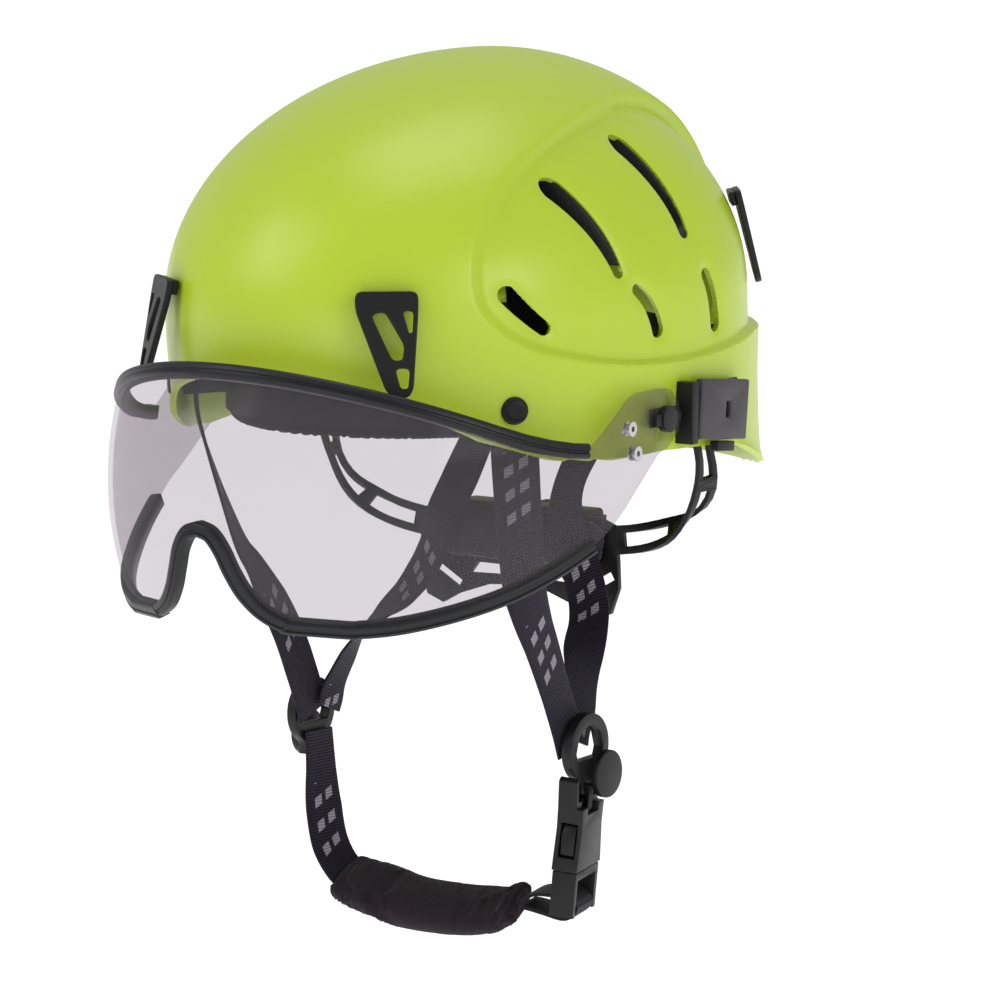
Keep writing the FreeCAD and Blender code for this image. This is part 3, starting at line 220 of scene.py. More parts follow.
# %% Pad textile
def cloth(name, colour, weave=900.0, fuzz=0.1):
    """Soft textile: crossed threads, fuzz and a sheen at grazing angles."""
    material, tree, shader = new_material(name)
    where = node(tree, "ShaderNodeTexCoord").outputs["Object"]
    threads = []
    for direction in ("X", "Z"):
        wave = node(tree, "ShaderNodeTexWave", bands_direction=direction, Scale=weave, Distortion=2.0)
        tree.links.new(where, wave.inputs["Vector"])
        threads.append(wave)
    both = node(tree, "ShaderNodeMath", operation="MULTIPLY")
    for index, wave in enumerate(threads):
        tree.links.new(wave.outputs["Fac"], both.inputs[index])
    tufts = noise(tree, 520, 5, 0.7, where)
    ramp = node(tree, "ShaderNodeMix", data_type="RGBA")
    ramp.inputs["A"].default_value = (*(c * 0.55 for c in colour), 1)
    ramp.inputs["B"].default_value = (*(c * 1.5 for c in colour), 1)
    tree.links.new(tufts.outputs["Fac"], ramp.inputs["Factor"])
    tree.links.new(ramp.outputs["Result"], shader.inputs["Base Color"])
    height = node(tree, "ShaderNodeMath", operation="ADD")
    tree.links.new(both.outputs["Value"], height.inputs[0])
    tree.links.new(tufts.outputs["Fac"], height.inputs[1])
    bump(tree, shader, height.outputs["Value"], 0.5, 0.00035)
    shader.inputs["Roughness"].default_value = 0.9
    shader.inputs["Specular IOR Level"].default_value = 0.2
    shader.inputs["Sheen Weight"].default_value = fuzz
    shader.inputs["Sheen Roughness"].default_value = 0.4
    return material


# %% [markdown]
# Webbing is ribbed across its length. The ribs have to follow each strap round its bends, so this
# finish is the only one that reads a UV map: x runs along the strap in millimetres. Woven pale bars
# are worked out from the same two numbers. The rib height also sets the colour: painted shade in the
# grooves and painted light on the crests.

# %% Webbing
def webbing(name, colour, thread, marks=True):
    """Ribbed tape, with painted shade in the rib grooves and painted light on the crests. UV x runs along it
    in millimetres and UV y across it, from 0 to 1.
    """
    material, tree, shader = new_material(name)
    where = node(tree, "ShaderNodeTexCoord").outputs["UV"]
    split = node(tree, "ShaderNodeSeparateXYZ")
    tree.links.new(where, split.inputs["Vector"])
    along, across = split.outputs["X"], split.outputs["Y"]

    def math_node(operation, *inputs):
        made = node(tree, "ShaderNodeMath", operation=operation)
        for index, value in enumerate(inputs):
            if isinstance(value, (int, float)):
                made.inputs[index].default_value = value
            else:
                tree.links.new(value, made.inputs[index])
        return made.outputs["Value"]

    rib = math_node("ABSOLUTE", math_node("SINE", math_node("MULTIPLY", along, math.pi / 1.25)))
    yarn = math_node("ABSOLUTE", math_node("SINE", math_node("MULTIPLY", across, math.pi * 17)))
    weave = math_node("MULTIPLY", rib, math_node("ADD", math_node("MULTIPLY", yarn, 0.35), 0.65))
    # The tape's colour follows the rib height: painted shade in the grooves and painted light on the crests.
    base = node(tree, "ShaderNodeMix", data_type="RGBA")
    base.inputs["A"].default_value = (*(c * 0.35 for c in colour), 1)
    base.inputs["B"].default_value = (*(c * 1.35 for c in colour), 1)
    tree.links.new(weave, base.inputs["Factor"])
    result = base.outputs["Result"]
    if marks:
        spot = math_node("MODULO", along, 78.0)
        inside = math_node("MULTIPLY", math_node("GREATER_THAN", spot, 22.0),
                           math_node("LESS_THAN", spot, 54.0))
        lean = math_node("ADD", spot, math_node("MULTIPLY", across, 9.0))
        bars = math_node("GREATER_THAN", math_node("SINE", math_node("MULTIPLY", lean, 0.62)), 0.25)
        gap = math_node("GREATER_THAN", math_node("ABSOLUTE", math_node("SUBTRACT", across, 0.5)), 0.06)
        field = math_node("MULTIPLY", math_node("GREATER_THAN", across, 0.24),
                          math_node("LESS_THAN", across, 0.76))
        mask = math_node("MULTIPLY", math_node("MULTIPLY", inside, bars),
                         math_node("MULTIPLY", field, gap))
        pale = node(tree, "ShaderNodeMix", data_type="RGBA")
        pale.inputs["B"].default_value = (*thread, 1)
        tree.links.new(result, pale.inputs["A"])
        # The pale marks fade in the grooves and are strongest on the crests, as painted shade.
        tree.links.new(math_node("MULTIPLY", mask, math_node("ADD", math_node("MULTIPLY", weave, 0.5), 0.4)),
                       pale.inputs["Factor"])
        result = pale.outputs["Result"]
    tree.links.new(result, shader.inputs["Base Color"])
    bump(tree, shader, weave, 0.9, 0.00035)
    shader.inputs["Roughness"].default_value = 0.62
    shader.inputs["Specular IOR Level"].default_value = 0.2
    shader.inputs["Sheen Weight"].default_value = 0.04
    return material


# %% [markdown]
# The visor is clear, faintly smoked polycarbonate. Full glass would bend the light twice in a 2 mm
# sheet and make the render slow and noisy. A tinted see-through surface mixed with a little glossy
# grey looks the same at this thickness.

# %% Clear lens
def clear_lens(name, tint, share, rough):
    """Thin polycarbonate: a see-through tint, with a small share of glossy grey."""
    material, tree, shader = new_material(name)
    shader.inputs["Base Color"].default_value = (0.34, 0.33, 0.345, 1)
    haze = noise(tree, 30, 4)
    tree.links.new(spread(tree, haze.outputs["Fac"], rough, rough + 0.06), shader.inputs["Roughness"])
    ripple = noise(tree, 14, 2)
    bump(tree, shader, ripple.outputs["Fac"], 0.2, 0.0008)
    through = node(tree, "ShaderNodeBsdfTransparent", Color=(*tint, 1))
    mix = node(tree, "ShaderNodeMixShader")
    mix.inputs["Fac"].default_value = share
    tree.links.new(through.outputs["BSDF"], mix.inputs[1])
    tree.links.new(shader.outputs["BSDF"], mix.inputs[2])
    tree.links.new(mix.outputs["Shader"], tree.nodes["Material Output"].inputs["Surface"])
    return material


# %% The finishes
GREEN = plastic("shell_green", (0.43, 0.575, 0.020), 0.36, 1400, 0.00006, coat=0.15,
                other=(0.41, 0.555, 0.016))
BLACK = plastic("black_plastic", (0.009, 0.009, 0.0095), 0.40, 2600, 0.0001, shine=0.24)
GREY = plastic("adapter_grey", (0.06, 0.054, 0.061), 0.45, 2600, 0.0001, shine=0.3)
TRIM = plastic("trim_rubber", (0.013, 0.0135, 0.015), 0.38, 1800, 0.00008, coat=0.05, shine=0.24)
FOAM = foam("liner_foam", (0.022, 0.022, 0.024))
PAD = cloth("pad_fabric", (0.017, 0.011, 0.015))
NAP = cloth("nape_fabric", (0.02, 0.018, 0.02), 700.0, 0.25)
WEB = webbing("webbing_marked", (0.011, 0.008, 0.019), (0.36, 0.34, 0.40))
TAPE = webbing("webbing_plain", (0.011, 0.009, 0.016), (0.5, 0.5, 0.5), False)
LENS = clear_lens("lens_clear", (0.83, 0.81, 0.83), 0.08, 0.06)
STEEL = plastic("eyelet_steel", (0.55, 0.55, 0.56), 0.25, 900, 0.00003)
STEEL.node_tree.nodes["Principled BSDF"].inputs["Metallic"].default_value = 1.0
FLOOR = plastic("floor_pale", (0.9, 0.9, 0.9), 0.7, 300, 0.0001)
floor_shader = FLOOR.node_tree.nodes["Principled BSDF"]
floor_shader.inputs["Emission Color"].default_value = (1, 1, 1, 1)
floor_shader.inputs["Emission Strength"].default_value = 0.6
floor.data.materials.append(FLOOR)
print(len(bpy.data.materials), "materials")

# %% [markdown]
# ## Tools for surfaces
# The shell and the lens are thin moulded sheets with holes and drawn outlines. Booleans could cut
# them, but they leave ragged edges on dense curved meshes. `cut_sheet` takes a grid of points and a
# field instead, and keeps the part where the field is positive, with a clean edge.

# %% Distances in a flat view
def smooth_step(x):
    x = np.clip(x, 0, 1)
    return x * x * (3 - 2 * x)


def distance_in(px, py, outline):
    """Distance from the outline of a polygon, positive inside it."""
    best = np.full(px.shape, 1e9)
    inside = np.zeros(px.shape, bool)
    count = len(outline)
    for k in range(count):
        (ax, ay), (bx, by) = outline[k], outline[(k + 1) % count]
        dx, dy = bx - ax, by - ay
        t = np.clip(((px - ax) * dx + (py - ay) * dy) / (dx * dx + dy * dy + 1e-12), 0, 1)
        best = np.minimum(best, np.hypot(px - ax - t * dx, py - ay - t * dy))
        crosses = (ay > py) != (by > py)
        with np.errstate(divide="ignore", invalid="ignore"):
            inside ^= crosses & (px < (bx - ax) * (py - ay) / (by - ay + 1e-12) + ax)
    return np.where(inside, best, -best)


def distance_out(px, py, start, end, start_radius, end_radius, bow=0.0):
    """Distance from a round-ended slot, positive outside it; bow bends it sideways."""
    dx, dy = end[0] - start[0], end[1] - start[1]
    length = math.hypot(dx, dy)
    t = ((px - start[0]) * dx + (py - start[1]) * dy) / length ** 2
    side = ((px - start[0]) * dy - (py - start[1]) * dx) / length
    held = np.clip(t, 0, 1)
    side = side - bow * (1 - (2 * held - 1) ** 2)
    past = (t - held) * length
    return np.hypot(side, past) - (start_radius + (end_radius - start_radius) * held)


def spline(points, count):
    """Catmull-Rom points through the given ones, evenly spaced along the curve."""
    p = np.array(points, float)
    ring = np.vstack([2 * p[0] - p[1], p, 2 * p[-1] - p[-2]])
    fine = []
    for k in range(1, len(ring) - 2):
        a, b, c, d = ring[k - 1:k + 3]
        t = np.linspace(0, 1, 24, endpoint=False)[:, None]
        fine.append(0.5 * (2 * b + (c - a) * t + (2 * a - 5 * b + 4 * c - d) * t ** 2
                           + (3 * b - a - 3 * c + d) * t ** 3))
    fine = np.vstack(fine + [ring[-2][None]])
    far = np.concatenate([[0], np.cumsum(np.linalg.norm(np.diff(fine, axis=0), axis=1))])
    at = np.linspace(0, far[-1], count)
    return np.stack([np.interp(at, far, fine[:, i]) for i in range(fine.shape[1])], 1)


# %% Meshes from arrays
def make_mesh(name, points, faces, uv=None, sharp=40.0):
    """A smooth-shaded mesh object from points in millimetres."""
    data = bpy.data.meshes.new(name)
    data.from_pydata([tuple(p) for p in np.asarray(points) * MM], [], faces)
    if uv is not None:
        layer = data.uv_layers.new(name="UVMap")
        corner = np.empty(len(data.loops), int)
        data.loops.foreach_get("vertex_index", corner)
        layer.data.foreach_set("uv", np.asarray(uv, float)[corner].ravel())
    data.update()
    data.shade_smooth()
    data.set_sharp_from_angle(angle=math.radians(sharp))
    obj = bpy.data.objects.new(name, data)
    bpy.context.scene.collection.objects.link(obj)
    return obj


def apply_modifiers(obj, sharp=40.0):
    graph = bpy.context.evaluated_depsgraph_get()
    data = bpy.data.meshes.new_from_object(obj.evaluated_get(graph))
    obj.modifiers.clear()
    obj.data = data
    data.shade_smooth()
    data.set_sharp_from_angle(angle=math.radians(sharp))
    return obj


def cut_sheet(points, field, wrap=False):
    """The part of a grid of points where field > 0, as vertices and faces with a clean edge."""
    rows, cols = field.shape
    index = np.arange(rows * cols).reshape(rows, cols)
    flat, value = points.reshape(-1, 3), field.ravel()
    right = np.roll(index, -1, axis=1)
    last = cols if wrap else cols - 1
    quads = np.stack([index[:-1, :last], right[:-1, :last], right[1:, :last], index[1:, :last]], -1)
    quads = quads.reshape(-1, 4)
    keep = (value[quads] > 0).sum(1)
    faces = quads[keep == 4].tolist()
    extra, cache = [], {}

    def crossing(a, b):
        key = (min(a, b), max(a, b))
        if key not in cache:
            t = value[a] / (value[a] - value[b])
            cache[key] = len(flat) + len(extra)
            extra.append(flat[a] + (flat[b] - flat[a]) * t)
        return cache[key]

    for quad in quads[(keep > 0) & (keep < 4)].tolist():
        face = []
        for k in range(4):
            a, b = quad[k], quad[(k + 1) % 4]
            if value[a] > 0:
                face.append(a)
            if (value[a] > 0) != (value[b] > 0):
                face.append(crossing(a, b))
        if len(face) > 2:
            faces.append(face)
    every = np.vstack([flat, np.array(extra).reshape(-1, 3)])
    used = np.unique(np.concatenate([np.asarray(f) for f in faces]))
    fresh = np.full(len(every), -1)
    fresh[used] = np.arange(len(used))
    return every[used], [[int(fresh[v]) for v in face] for face in faces]


def thick_sheet(name, points, field, thickness, wrap=False):
    """A cut sheet given a wall that grows inward from it, so its faces must wind outward."""
    verts, faces = cut_sheet(points, field, wrap)
    obj = make_mesh(name, verts, faces)
    wall = obj.modifiers.new("wall", "SOLIDIFY")
    wall.thickness, wall.offset, wall.use_even_offset = thickness * MM, -1.0, True
    return apply_modifiers(obj)


# %% Dressing a piece
def dress(obj, body, material, slot_name, *stands_for):
    """Gives a piece its finish, ties it to its body and hides the CAD nodes it stands for."""
    obj.data.materials.clear()
    obj.data.materials.append(material)
    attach(obj, body)
    if stands_for:
        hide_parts(*stands_for)
    return obj


def both_sides(points, side):
    """Points modelled for the wearer's left, or mirrored for the right."""
    mirrored = np.array(points, float)
    mirrored[..., 0] *= side
    return mirrored


SIDES = {"left": 1, "right": -1}

# %% [markdown]
# ## The shell
# The shell is one moulding with a raised crown, sunk sides that hold the vents, and a skirt. It could
# be sculpted, but then no size could be set. Here the crown is two half ellipsoids. A second, smaller
# dome shows where the sides are sunk, and the two are mixed across a soft ridge. Vents and the brim
# are cut from the same grid. The flare of the brim fades beside the adapters, to clear their latches.
# The grid turns clockwise from above, so that its faces look outward and the wall grows inward.

# %% Shell surface
DOME = dict(width=110.0, front=165.0, rear=107.0, rise=98.4)
SUNK = dict(width=107.0, front=162.0, rear=98.5, rise=92.0)
MIDDLE, LEVEL = 28.7, 40.0
SKIRT = [(0, 0, 0, 0), (-14, 0, -0.8, 1.8), (-34, -1.4, -3, 4.2), (-56, -1.4, -7, 6.8), (-84, 0.4, -13, 9.6)]
PANEL = [(66, 25.5), (38, 22), (6, 19.5), (-28, 20.5), (-56, 25), (-76, 31.5), (-89, 43), (-91, 56),
         (-85, 72), (-70, 88.5), (-49, 101), (-16, 113), (22, 121)]
PANEL_TAIL = [(60, 150), (150, 150), (150, 27)]
BRIM = [(-150, 24), (-134, 19), (-112, 9), (-88, -5), (-62, -14), (-34, -16), (-8, -15.5), (22, -16.5),
        (48, -19), (72, -26), (96, -33), (122, -36), (150, -36.5)]
VENTS = [((6, 106), (14.5, 71), 5.4, 3.0, -1.5), ((-45, 91), (-30, 57), 5.4, 2.6, -1.5),
         ((-80, 50.5), (-66.5, 36.5), 4.0, 2.8, 0.8), ((-21, 49), (-9.5, 32.2), 2.7, 3.4, -1.5),
         ((24, 52), (30.3, 31.5), 3.1, 3.6, -0.8)]
SPINE_HALF_WIDTH, SPINE_TAPER = 62.0, 0.06
SHELL_WALL, VENT_LIP, LIP_REACH, BRIM_FLARE, FLARE_REACH = 2.6, 1.0, 2.6, 1.3, 2.2
ADAPTER_MIDDLE, ADAPTER_CLEAR, ADAPTER_FADE = 18, 26, 8


def dome_points(dome, turn, drop):
    """Points on a dome: turn is the angle in plan, drop runs from 0 at the crown down the skirt."""
    reach = np.where(np.sin(turn) < 0, dome["front"], dome["rear"])
    lift = np.clip(drop, 0, 1) * math.pi / 2
    below = np.clip(drop - 1, 0, None) * 100.0
    levels, widths, fronts, rears = np.array(SKIRT[::-1], float).T
    soft = np.linspace(-6, 6, 7)

    def pull(column):
        return np.mean([np.interp(-below + s, levels, column) for s in soft], axis=0)

    grow = np.clip(below / 6, 0, 1)
    wide = dome["width"] + pull(widths) * grow
    deep = reach + np.where(np.sin(turn) < 0, pull(fronts), pull(rears)) * grow
    x = wide * np.cos(turn) * np.sin(lift)
    y = MIDDLE + deep * np.sin(turn) * np.sin(lift)
    z = LEVEL + dome["rise"] * np.cos(lift) - below
    return np.stack([x, y, z], -1)


turn, drop = np.meshgrid(np.linspace(2 * math.pi, 0, 960, endpoint=False),
                         np.concatenate([np.linspace(0.004, 1, 230, endpoint=False),
                                         1 + np.linspace(0, 0.86, 110)]))
crown = dome_points(DOME, turn, drop)
sunk = dome_points(SUNK, turn, drop)
panel = spline([(y, z) for y, z in PANEL], 90).tolist() + PANEL_TAIL
depth = distance_in(crown[..., 1], crown[..., 2], panel)
spine = np.abs(crown[..., 0]) - SPINE_HALF_WIDTH + SPINE_TAPER * np.clip(crown[..., 1] - 20, 0, 80)
depth = np.minimum(depth, spine)
softness = 2.2 + 2.6 * smooth_step((-crown[..., 1] - 30) / 50)
mixing = smooth_step(depth / softness + 0.35)[..., None]
shell = crown * (1 - mixing) + sunk * mixing
vent_gap = np.full(turn.shape, 1e9)
for start, end, first, last, bow in VENTS:
    gap = distance_out(crown[..., 1], crown[..., 2], start, end, first, last, bow)
    vent_gap = np.minimum(vent_gap, gap)
centre_line = np.array([0, MIDDLE, 20.0])
inward = centre_line - shell
inward /= np.linalg.norm(inward, axis=-1, keepdims=True)
lip = VENT_LIP * np.exp(-np.clip(vent_gap, 0, None) / LIP_REACH)[..., None]
shell = shell + inward * lip * (vent_gap > -6)[..., None]
brim_line = np.array(BRIM, float)
edge = shell[..., 2] - np.interp(shell[..., 1], *brim_line.T)
beside_adapter = 1 - smooth_step((np.abs(shell[..., 1] - ADAPTER_MIDDLE) - ADAPTER_CLEAR)
                                 / ADAPTER_FADE)
flare = (BRIM_FLARE * (1 - beside_adapter) * np.exp(-np.clip(edge, 0, None) / FLARE_REACH))[..., None]
level_in = inward * np.array([1, 1, 0])
shell = shell - level_in * flare
field = np.minimum(edge, vent_gap)
helmet_shell = thick_sheet("helmet_shell", shell, field, SHELL_WALL, wrap=True)
dress(helmet_shell, "helmet", GREEN, "shell_green", "shell")
print("shell", len(helmet_shell.data.vertices), "points,", len(VENTS) * 2, "vents")

# %% [markdown]
# ## The visor
# The visor is a bent sheet of clear plastic that tilts on two studs. A flat sheet bent by a modifier
# would not have the double curve of a moulded one, so the lens is part of an ellipsoid with flat
# cheeks. Its outline is drawn in the side view and the gap over the nose in the front view. Rubber
# channels are swept along its top and bottom edges.

# %% Lens
LENS_MIDDLE, LENS_HALF, CHEEK = (-9.6, -28.0), (114.0, 159.0, 134.0), 109.5
PIVOT = (-13.6, -2.0)
LENS_TOP = [(-62.0, -9.5), (-70.0, -8.6), (-80.0, -6.6), (-90.0, -3.8), (-100.0, 0.0), (-178.0, 32.8)]
LENS_LOW = [(-178, -73.5), (-146, -73.5), (-128, -71.5), (-100, -64), (-80, -56), (-60, -46.5)]
LENS_CHEEK = [(-40, -33), (-18, -16), (-9.5, -13.3), (-2.6, -8.0), (-1.4, -2.0), (-2.8, 3.5),
              (-7.5, 8.6), (-14, 10.0), (-30, 10.0), (-36, 8.0)]
NOSE = [(0, -35), (5.5, -37), (9.8, -43), (13, -51), (17.5, -60), (25, -68), (38, -74), (60, -82)]


def lens_point(angle, z, grow=0.0):
    """A point of the lens's outer face at an angle round from straight ahead and a height."""
    wide, deep, tall = (half + grow for half in LENS_HALF)
    shrink = np.sqrt(np.clip(1 - ((z - LENS_MIDDLE[1]) / tall) ** 2, 0, 1))
    x = wide * shrink * np.sin(angle)
    limit = CHEEK + grow
    over = np.abs(x) - limit
    x = np.where(over > -1.5, np.sign(x) * (limit - np.clip(1.5 - over, 0, 3.0) ** 2 / 6.0 * (over < 1.5)
                                            ), x)
    y = LENS_MIDDLE[0] - deep * shrink * np.cos(angle)
    return np.stack([x, y, z + 0 * angle], -1)


angle, height = np.meshgrid(np.radians(np.linspace(-98, 98, 760)), np.linspace(-86, 42, 200))
lens_grid = lens_point(angle, height)
side_view = LENS_TOP + LENS_LOW + LENS_CHEEK
lens_field = distance_in(lens_grid[..., 1], lens_grid[..., 2], side_view)
nose_half = spline(NOSE, 60).tolist()
nose_gap = [(-x, z) for x, z in reversed(nose_half)] + nose_half[1:] + [(60, -140), (-60, -140)]
nose_field = -distance_in(lens_grid[..., 0], lens_grid[..., 2], nose_gap)
lens_field = np.minimum(lens_field, np.where(lens_grid[..., 1] < -80, nose_field, 1e9))
for centre, radius in ((PIVOT, 4.06), ((-37.0, -3.6), 1.8), ((-33.0, -13.6), 1.8)):
    hole = np.hypot(lens_grid[..., 1] - centre[0], lens_grid[..., 2] - centre[1]) - radius
    lens_field = np.minimum(lens_field, hole)
key = distance_out(lens_grid[..., 1], lens_grid[..., 2], (PIVOT[0] + 3.2, PIVOT[1] + 6.6),
                   (PIVOT[0] - 3.2, PIVOT[1] - 6.6), 2.0, 2.0)
lens_field = np.minimum(lens_field, key)
lens = thick_sheet("visor_glazing", lens_grid, lens_field, 2.0)
dress(lens, "visor", LENS, "lens_clear", "visor_lens")
print("lens", len(lens.data.vertices), "points")


# %% Swept profiles
def sweep(name, path, side, profile):
    """Carries a closed profile along a path; side is the profile's first axis at each point."""
    path, side = np.asarray(path, float), np.asarray(side, float)
    run = np.gradient(path, axis=0)
    run /= np.linalg.norm(run, axis=1, keepdims=True)
    side = side - run * (side * run).sum(1, keepdims=True)
    side /= np.linalg.norm(side, axis=1, keepdims=True)
    up = np.cross(run, side)
    profile = np.asarray(profile, float)
    count, ring = len(path), len(profile)
    verts = (path[:, None] + side[:, None] * profile[None, :, :1] + up[:, None] * profile[None, :, 1:])
    far = np.concatenate([[0], np.cumsum(np.linalg.norm(np.diff(path, axis=0), axis=1))])
    low, high = profile[:, 0].min(), profile[:, 0].max()
    uv = np.stack(np.broadcast_arrays(far[:, None],
                                      ((profile[:, 0] - low) / (high - low))[None]), -1)
    faces = []
    for i in range(count - 1):
        j = i + 1
        for k in range(ring):
            m = (k + 1) % ring
            faces.append([i * ring + k, i * ring + m, j * ring + m, j * ring + k])
    faces += [list(range(ring))[::-1], [(count - 1) * ring + k for k in range(ring)]]
    return make_mesh(name, verts.reshape(-1, 3), faces, uv.reshape(-1, 2), 50.0)


def rounded(wide, tall, power=3.0, count=20):
    """A rounded rectangle as a superellipse."""
    t = np.linspace(0, 2 * math.pi, count, endpoint=False)
    c, s = np.cos(t), np.sin(t)
    return np.stack([wide / 2 * np.sign(c) * np.abs(c) ** (2 / power),
                     tall / 2 * np.sign(s) * np.abs(s) ** (2 / power)], 1)


def lens_outward(points):
    wide, deep, tall = LENS_HALF
    n = np.stack([points[:, 0] / wide ** 2, (points[:, 1] - LENS_MIDDLE[0]) / deep ** 2,
                  (points[:, 2] - LENS_MIDDLE[1]) / tall ** 2], 1)
    return n / np.linalg.norm(n, axis=1, keepdims=True)


def on_lens(x, z):
    """The lens's front face at a given x and z."""
    wide, deep, tall = LENS_HALF
    rest = 1 - (x / wide) ** 2 - ((z - LENS_MIDDLE[1]) / tall) ** 2
    return LENS_MIDDLE[0] - deep * math.sqrt(max(rest, 0.0))


# %% Rubber edges
CHANNEL = [(-2.6, -2.4), (-2.2, -2.9), (1.6, -2.9), (2.5, -2.4), (2.8, -1.2), (2.8, -0.3), (2.2, 0.2),
           (2.2, 0.9), (2.8, 1.3), (2.7, 2.3), (1.9, 2.9), (-2.2, 2.9), (-2.6, 2.4)]
top_back, top_level = np.array(LENS_TOP[::-1]).T
top_path = []
for swing in np.radians(np.linspace(-71.0, 71.0, 160)):
    z = 0.0
    for _ in range(30):
        p = lens_point(np.array(swing), np.array(z))
        z = 0.5 * z + 0.5 * float(np.interp(p[1], top_back, top_level))
    top_path.append(lens_point(np.array(swing), np.array(z)))
top_path = np.array(top_path)
top_path = top_path[np.argsort(top_path[:, 0])]
top_path = top_path[top_path[:, 1] < -62.5]
outward = lens_outward(top_path)
top_trim = sweep("visor_top_edge", top_path - outward * 1.0, outward, CHANNEL)
dress(top_trim, "visor", TRIM, "trim_rubber", "visor_top_trim")

low_side = spline(LENS_LOW[1:], 60)
half = [(x, on_lens(x, z), z) for x, z in nose_half if x < 33]
side_run = []
for y, z in low_side:
    rest = 1 - ((y - LENS_MIDDLE[0]) / LENS_HALF[1]) ** 2 - ((z - LENS_MIDDLE[1]) / LENS_HALF[2]) ** 2
    x = LENS_HALF[0] * math.sqrt(max(rest, 0))
    if x > 50 and x < CHEEK:
        side_run.append((x, y, z))
half = spline(half + side_run, 150)
low_path = np.vstack([(half * [-1, 1, 1])[::-1], half[1:]])
outward = lens_outward(low_path)
low_trim = sweep("visor_low_edge", low_path - outward * 1.0, outward, CHANNEL)
dress(low_trim, "visor", TRIM, "trim_rubber", "visor_bottom_trim")
print("edges", round(top_path[:, 1].min(), 1), round(low_path[:, 2].min(), 1))

# %% [markdown]
# ## Webbing
# Flat straps hold the helmet on: two legs each side that meet at a divider, and one under the chin.
# A cloth simulation would crumple them, though worn straps are taut. Each is a thin rounded strip
# carried along a smooth line, with its length in the UV map, so that the ribs run across it.

# %% Straps
def strip(name, points, across, wide, thick=1.4, step=1.5):
    """A tape along smooth points whose width direction is given at each of them."""
    rough = np.array(points, float)
    length = np.linalg.norm(np.diff(rough, axis=0), axis=1).sum()
    count = int(length / step) + 2
    path = spline(points, count)
    share = np.linspace(0, len(across) - 1, count)
    turns = np.array(across, float)
    side = np.stack([np.interp(share, range(len(turns)), turns[:, i]) for i in range(3)], 1)
    return sweep(name, path, side, rounded(wide, thick, 5.0, 28))


FRONT = [(76.6, -70.8, 11), (76.4, -68.5, -12), (70, -54, -57), (66.5, -44, -75), (64.3, -28, -100),
         (64.1, -15, -126), (64.3, -10, -139)]
FRONT_ACROSS = [(0.66, 0.75, 0), (0.66, 0.75, 0), (0.55, 0.84, 0), (0.4, 0.9, 0.1), (0.1, 0.95, 0.3),
                (0, 0.9, 0.3), (0, 0.95, 0.2)]
REAR = [(30, 86, 14), (28, 68, -16), (27, 46, -42), (31, 38.2, -58), (38, 38.6, -76), (46, 32, -92),
        (55, 13, -108), (60.9, 3, -126), (61.9, -2, -138)]
REAR_ACROSS = [(1, 0, 0), (1, 0, 0), (1, 0, 0), (0.9, 0, 0.3), (0.8, 0.1, 0.5), (0.7, 0.4, 0.6),
               (0.2, 0.9, 0.4), (0, 0.9, 0.3), (0, 0.95, 0.2)]
CHIN = [(-64.3, -5.5, -147), (-63.2, -6, -160), (-61.5, -6.5, -178), (-57, -7, -196),
        (-46, -7.5, -207.5), (-30, -8, -211)]
CHIN_ACROSS = [(0, 1, 0), (0.1, 0.98, 0), (0.33, 0.95, 0), (0.3, 0.93, 0.2), (0.1, 0.9, 0.4), (0, 0.87, 0.5)]
for name, side in SIDES.items():
    tape = strip("front_web_" + name, both_sides(FRONT, side), both_sides(FRONT_ACROSS, side), 19)
    dress(tape, "helmet", WEB, "webbing", "front_strap_" + name)
    tape = strip("rear_web_" + name, both_sides(REAR, side), both_sides(REAR_ACROSS, side), 17)
    dress(tape, "helmet", WEB, "webbing", "rear_strap_" + name)
chin_web = strip("chin_web", CHIN, CHIN_ACROSS, 18)
dress(chin_web, "helmet", WEB, "webbing", "chin_strap")
print("five straps")

# %% [markdown]
# ## Clips and buttons
# The lamp clips are flat plates with rounded corners and cut windows, held off the shell on a foot.
# The front ones sit on the raised crown. The rear ones sit on the sunk panel and lean in, since the
# shell falls away under them. Filled curves make such plates, bevels included, without booleans. The
# straps end under domed round buttons, which are placed by a ray cast onto the finished shell.

# %% Plates with windows
def round_corners(outline, radius, steps=5):
    """A polygon with its corners cut back into short arcs."""
    corners = np.array(outline, float)
    out = []
    for before, at, after in zip(np.roll(corners, 1, 0), corners, np.roll(corners, -1, 0)):
        a, b = before - at, after - at
        la, lb = np.linalg.norm(a), np.linalg.norm(b)
        cut = min(radius, la * 0.45, lb * 0.45)
        start, end = at + a / la * cut, at + b / lb * cut
        for t in np.linspace(0, 1, steps):
            out.append((1 - t) ** 2 * start + 2 * t * (1 - t) * at + t ** 2 * end)
    return out


def plate(name, outline, windows, thick, bevel, place):
    """A bevelled plate cut with windows; place maps its own X, Y and outward Z, in millimetres."""
    curve = bpy.data.curves.new(name, "CURVE")
    curve.dimensions, curve.fill_mode = "2D", "BOTH"
    for loop in (outline, *windows):
        line = curve.splines.new("POLY")
        line.points.add(len(loop) - 1)
        for point, (x, y) in zip(line.points, loop):
            point.co = (x * MM, y * MM, 0, 1)
        line.use_cyclic_u = True
    curve.extrude, curve.bevel_depth, curve.bevel_resolution = (thick / 2 - bevel) * MM, bevel * MM, 2
    curve.offset = -bevel * MM
    obj = bpy.data.objects.new(name, curve)
    bpy.context.scene.collection.objects.link(obj)
    graph = bpy.context.evaluated_depsgraph_get()
    data = bpy.data.meshes.new_from_object(obj.evaluated_get(graph))
    bpy.data.objects.remove(obj)
    data.transform(place)
    if place.determinant() < 0:
        data.flip_normals()
    data.shade_smooth()
    data.set_sharp_from_angle(angle=math.radians(50))
    made = bpy.data.objects.new(name, data)
    bpy.context.scene.collection.objects.link(made)
    return made


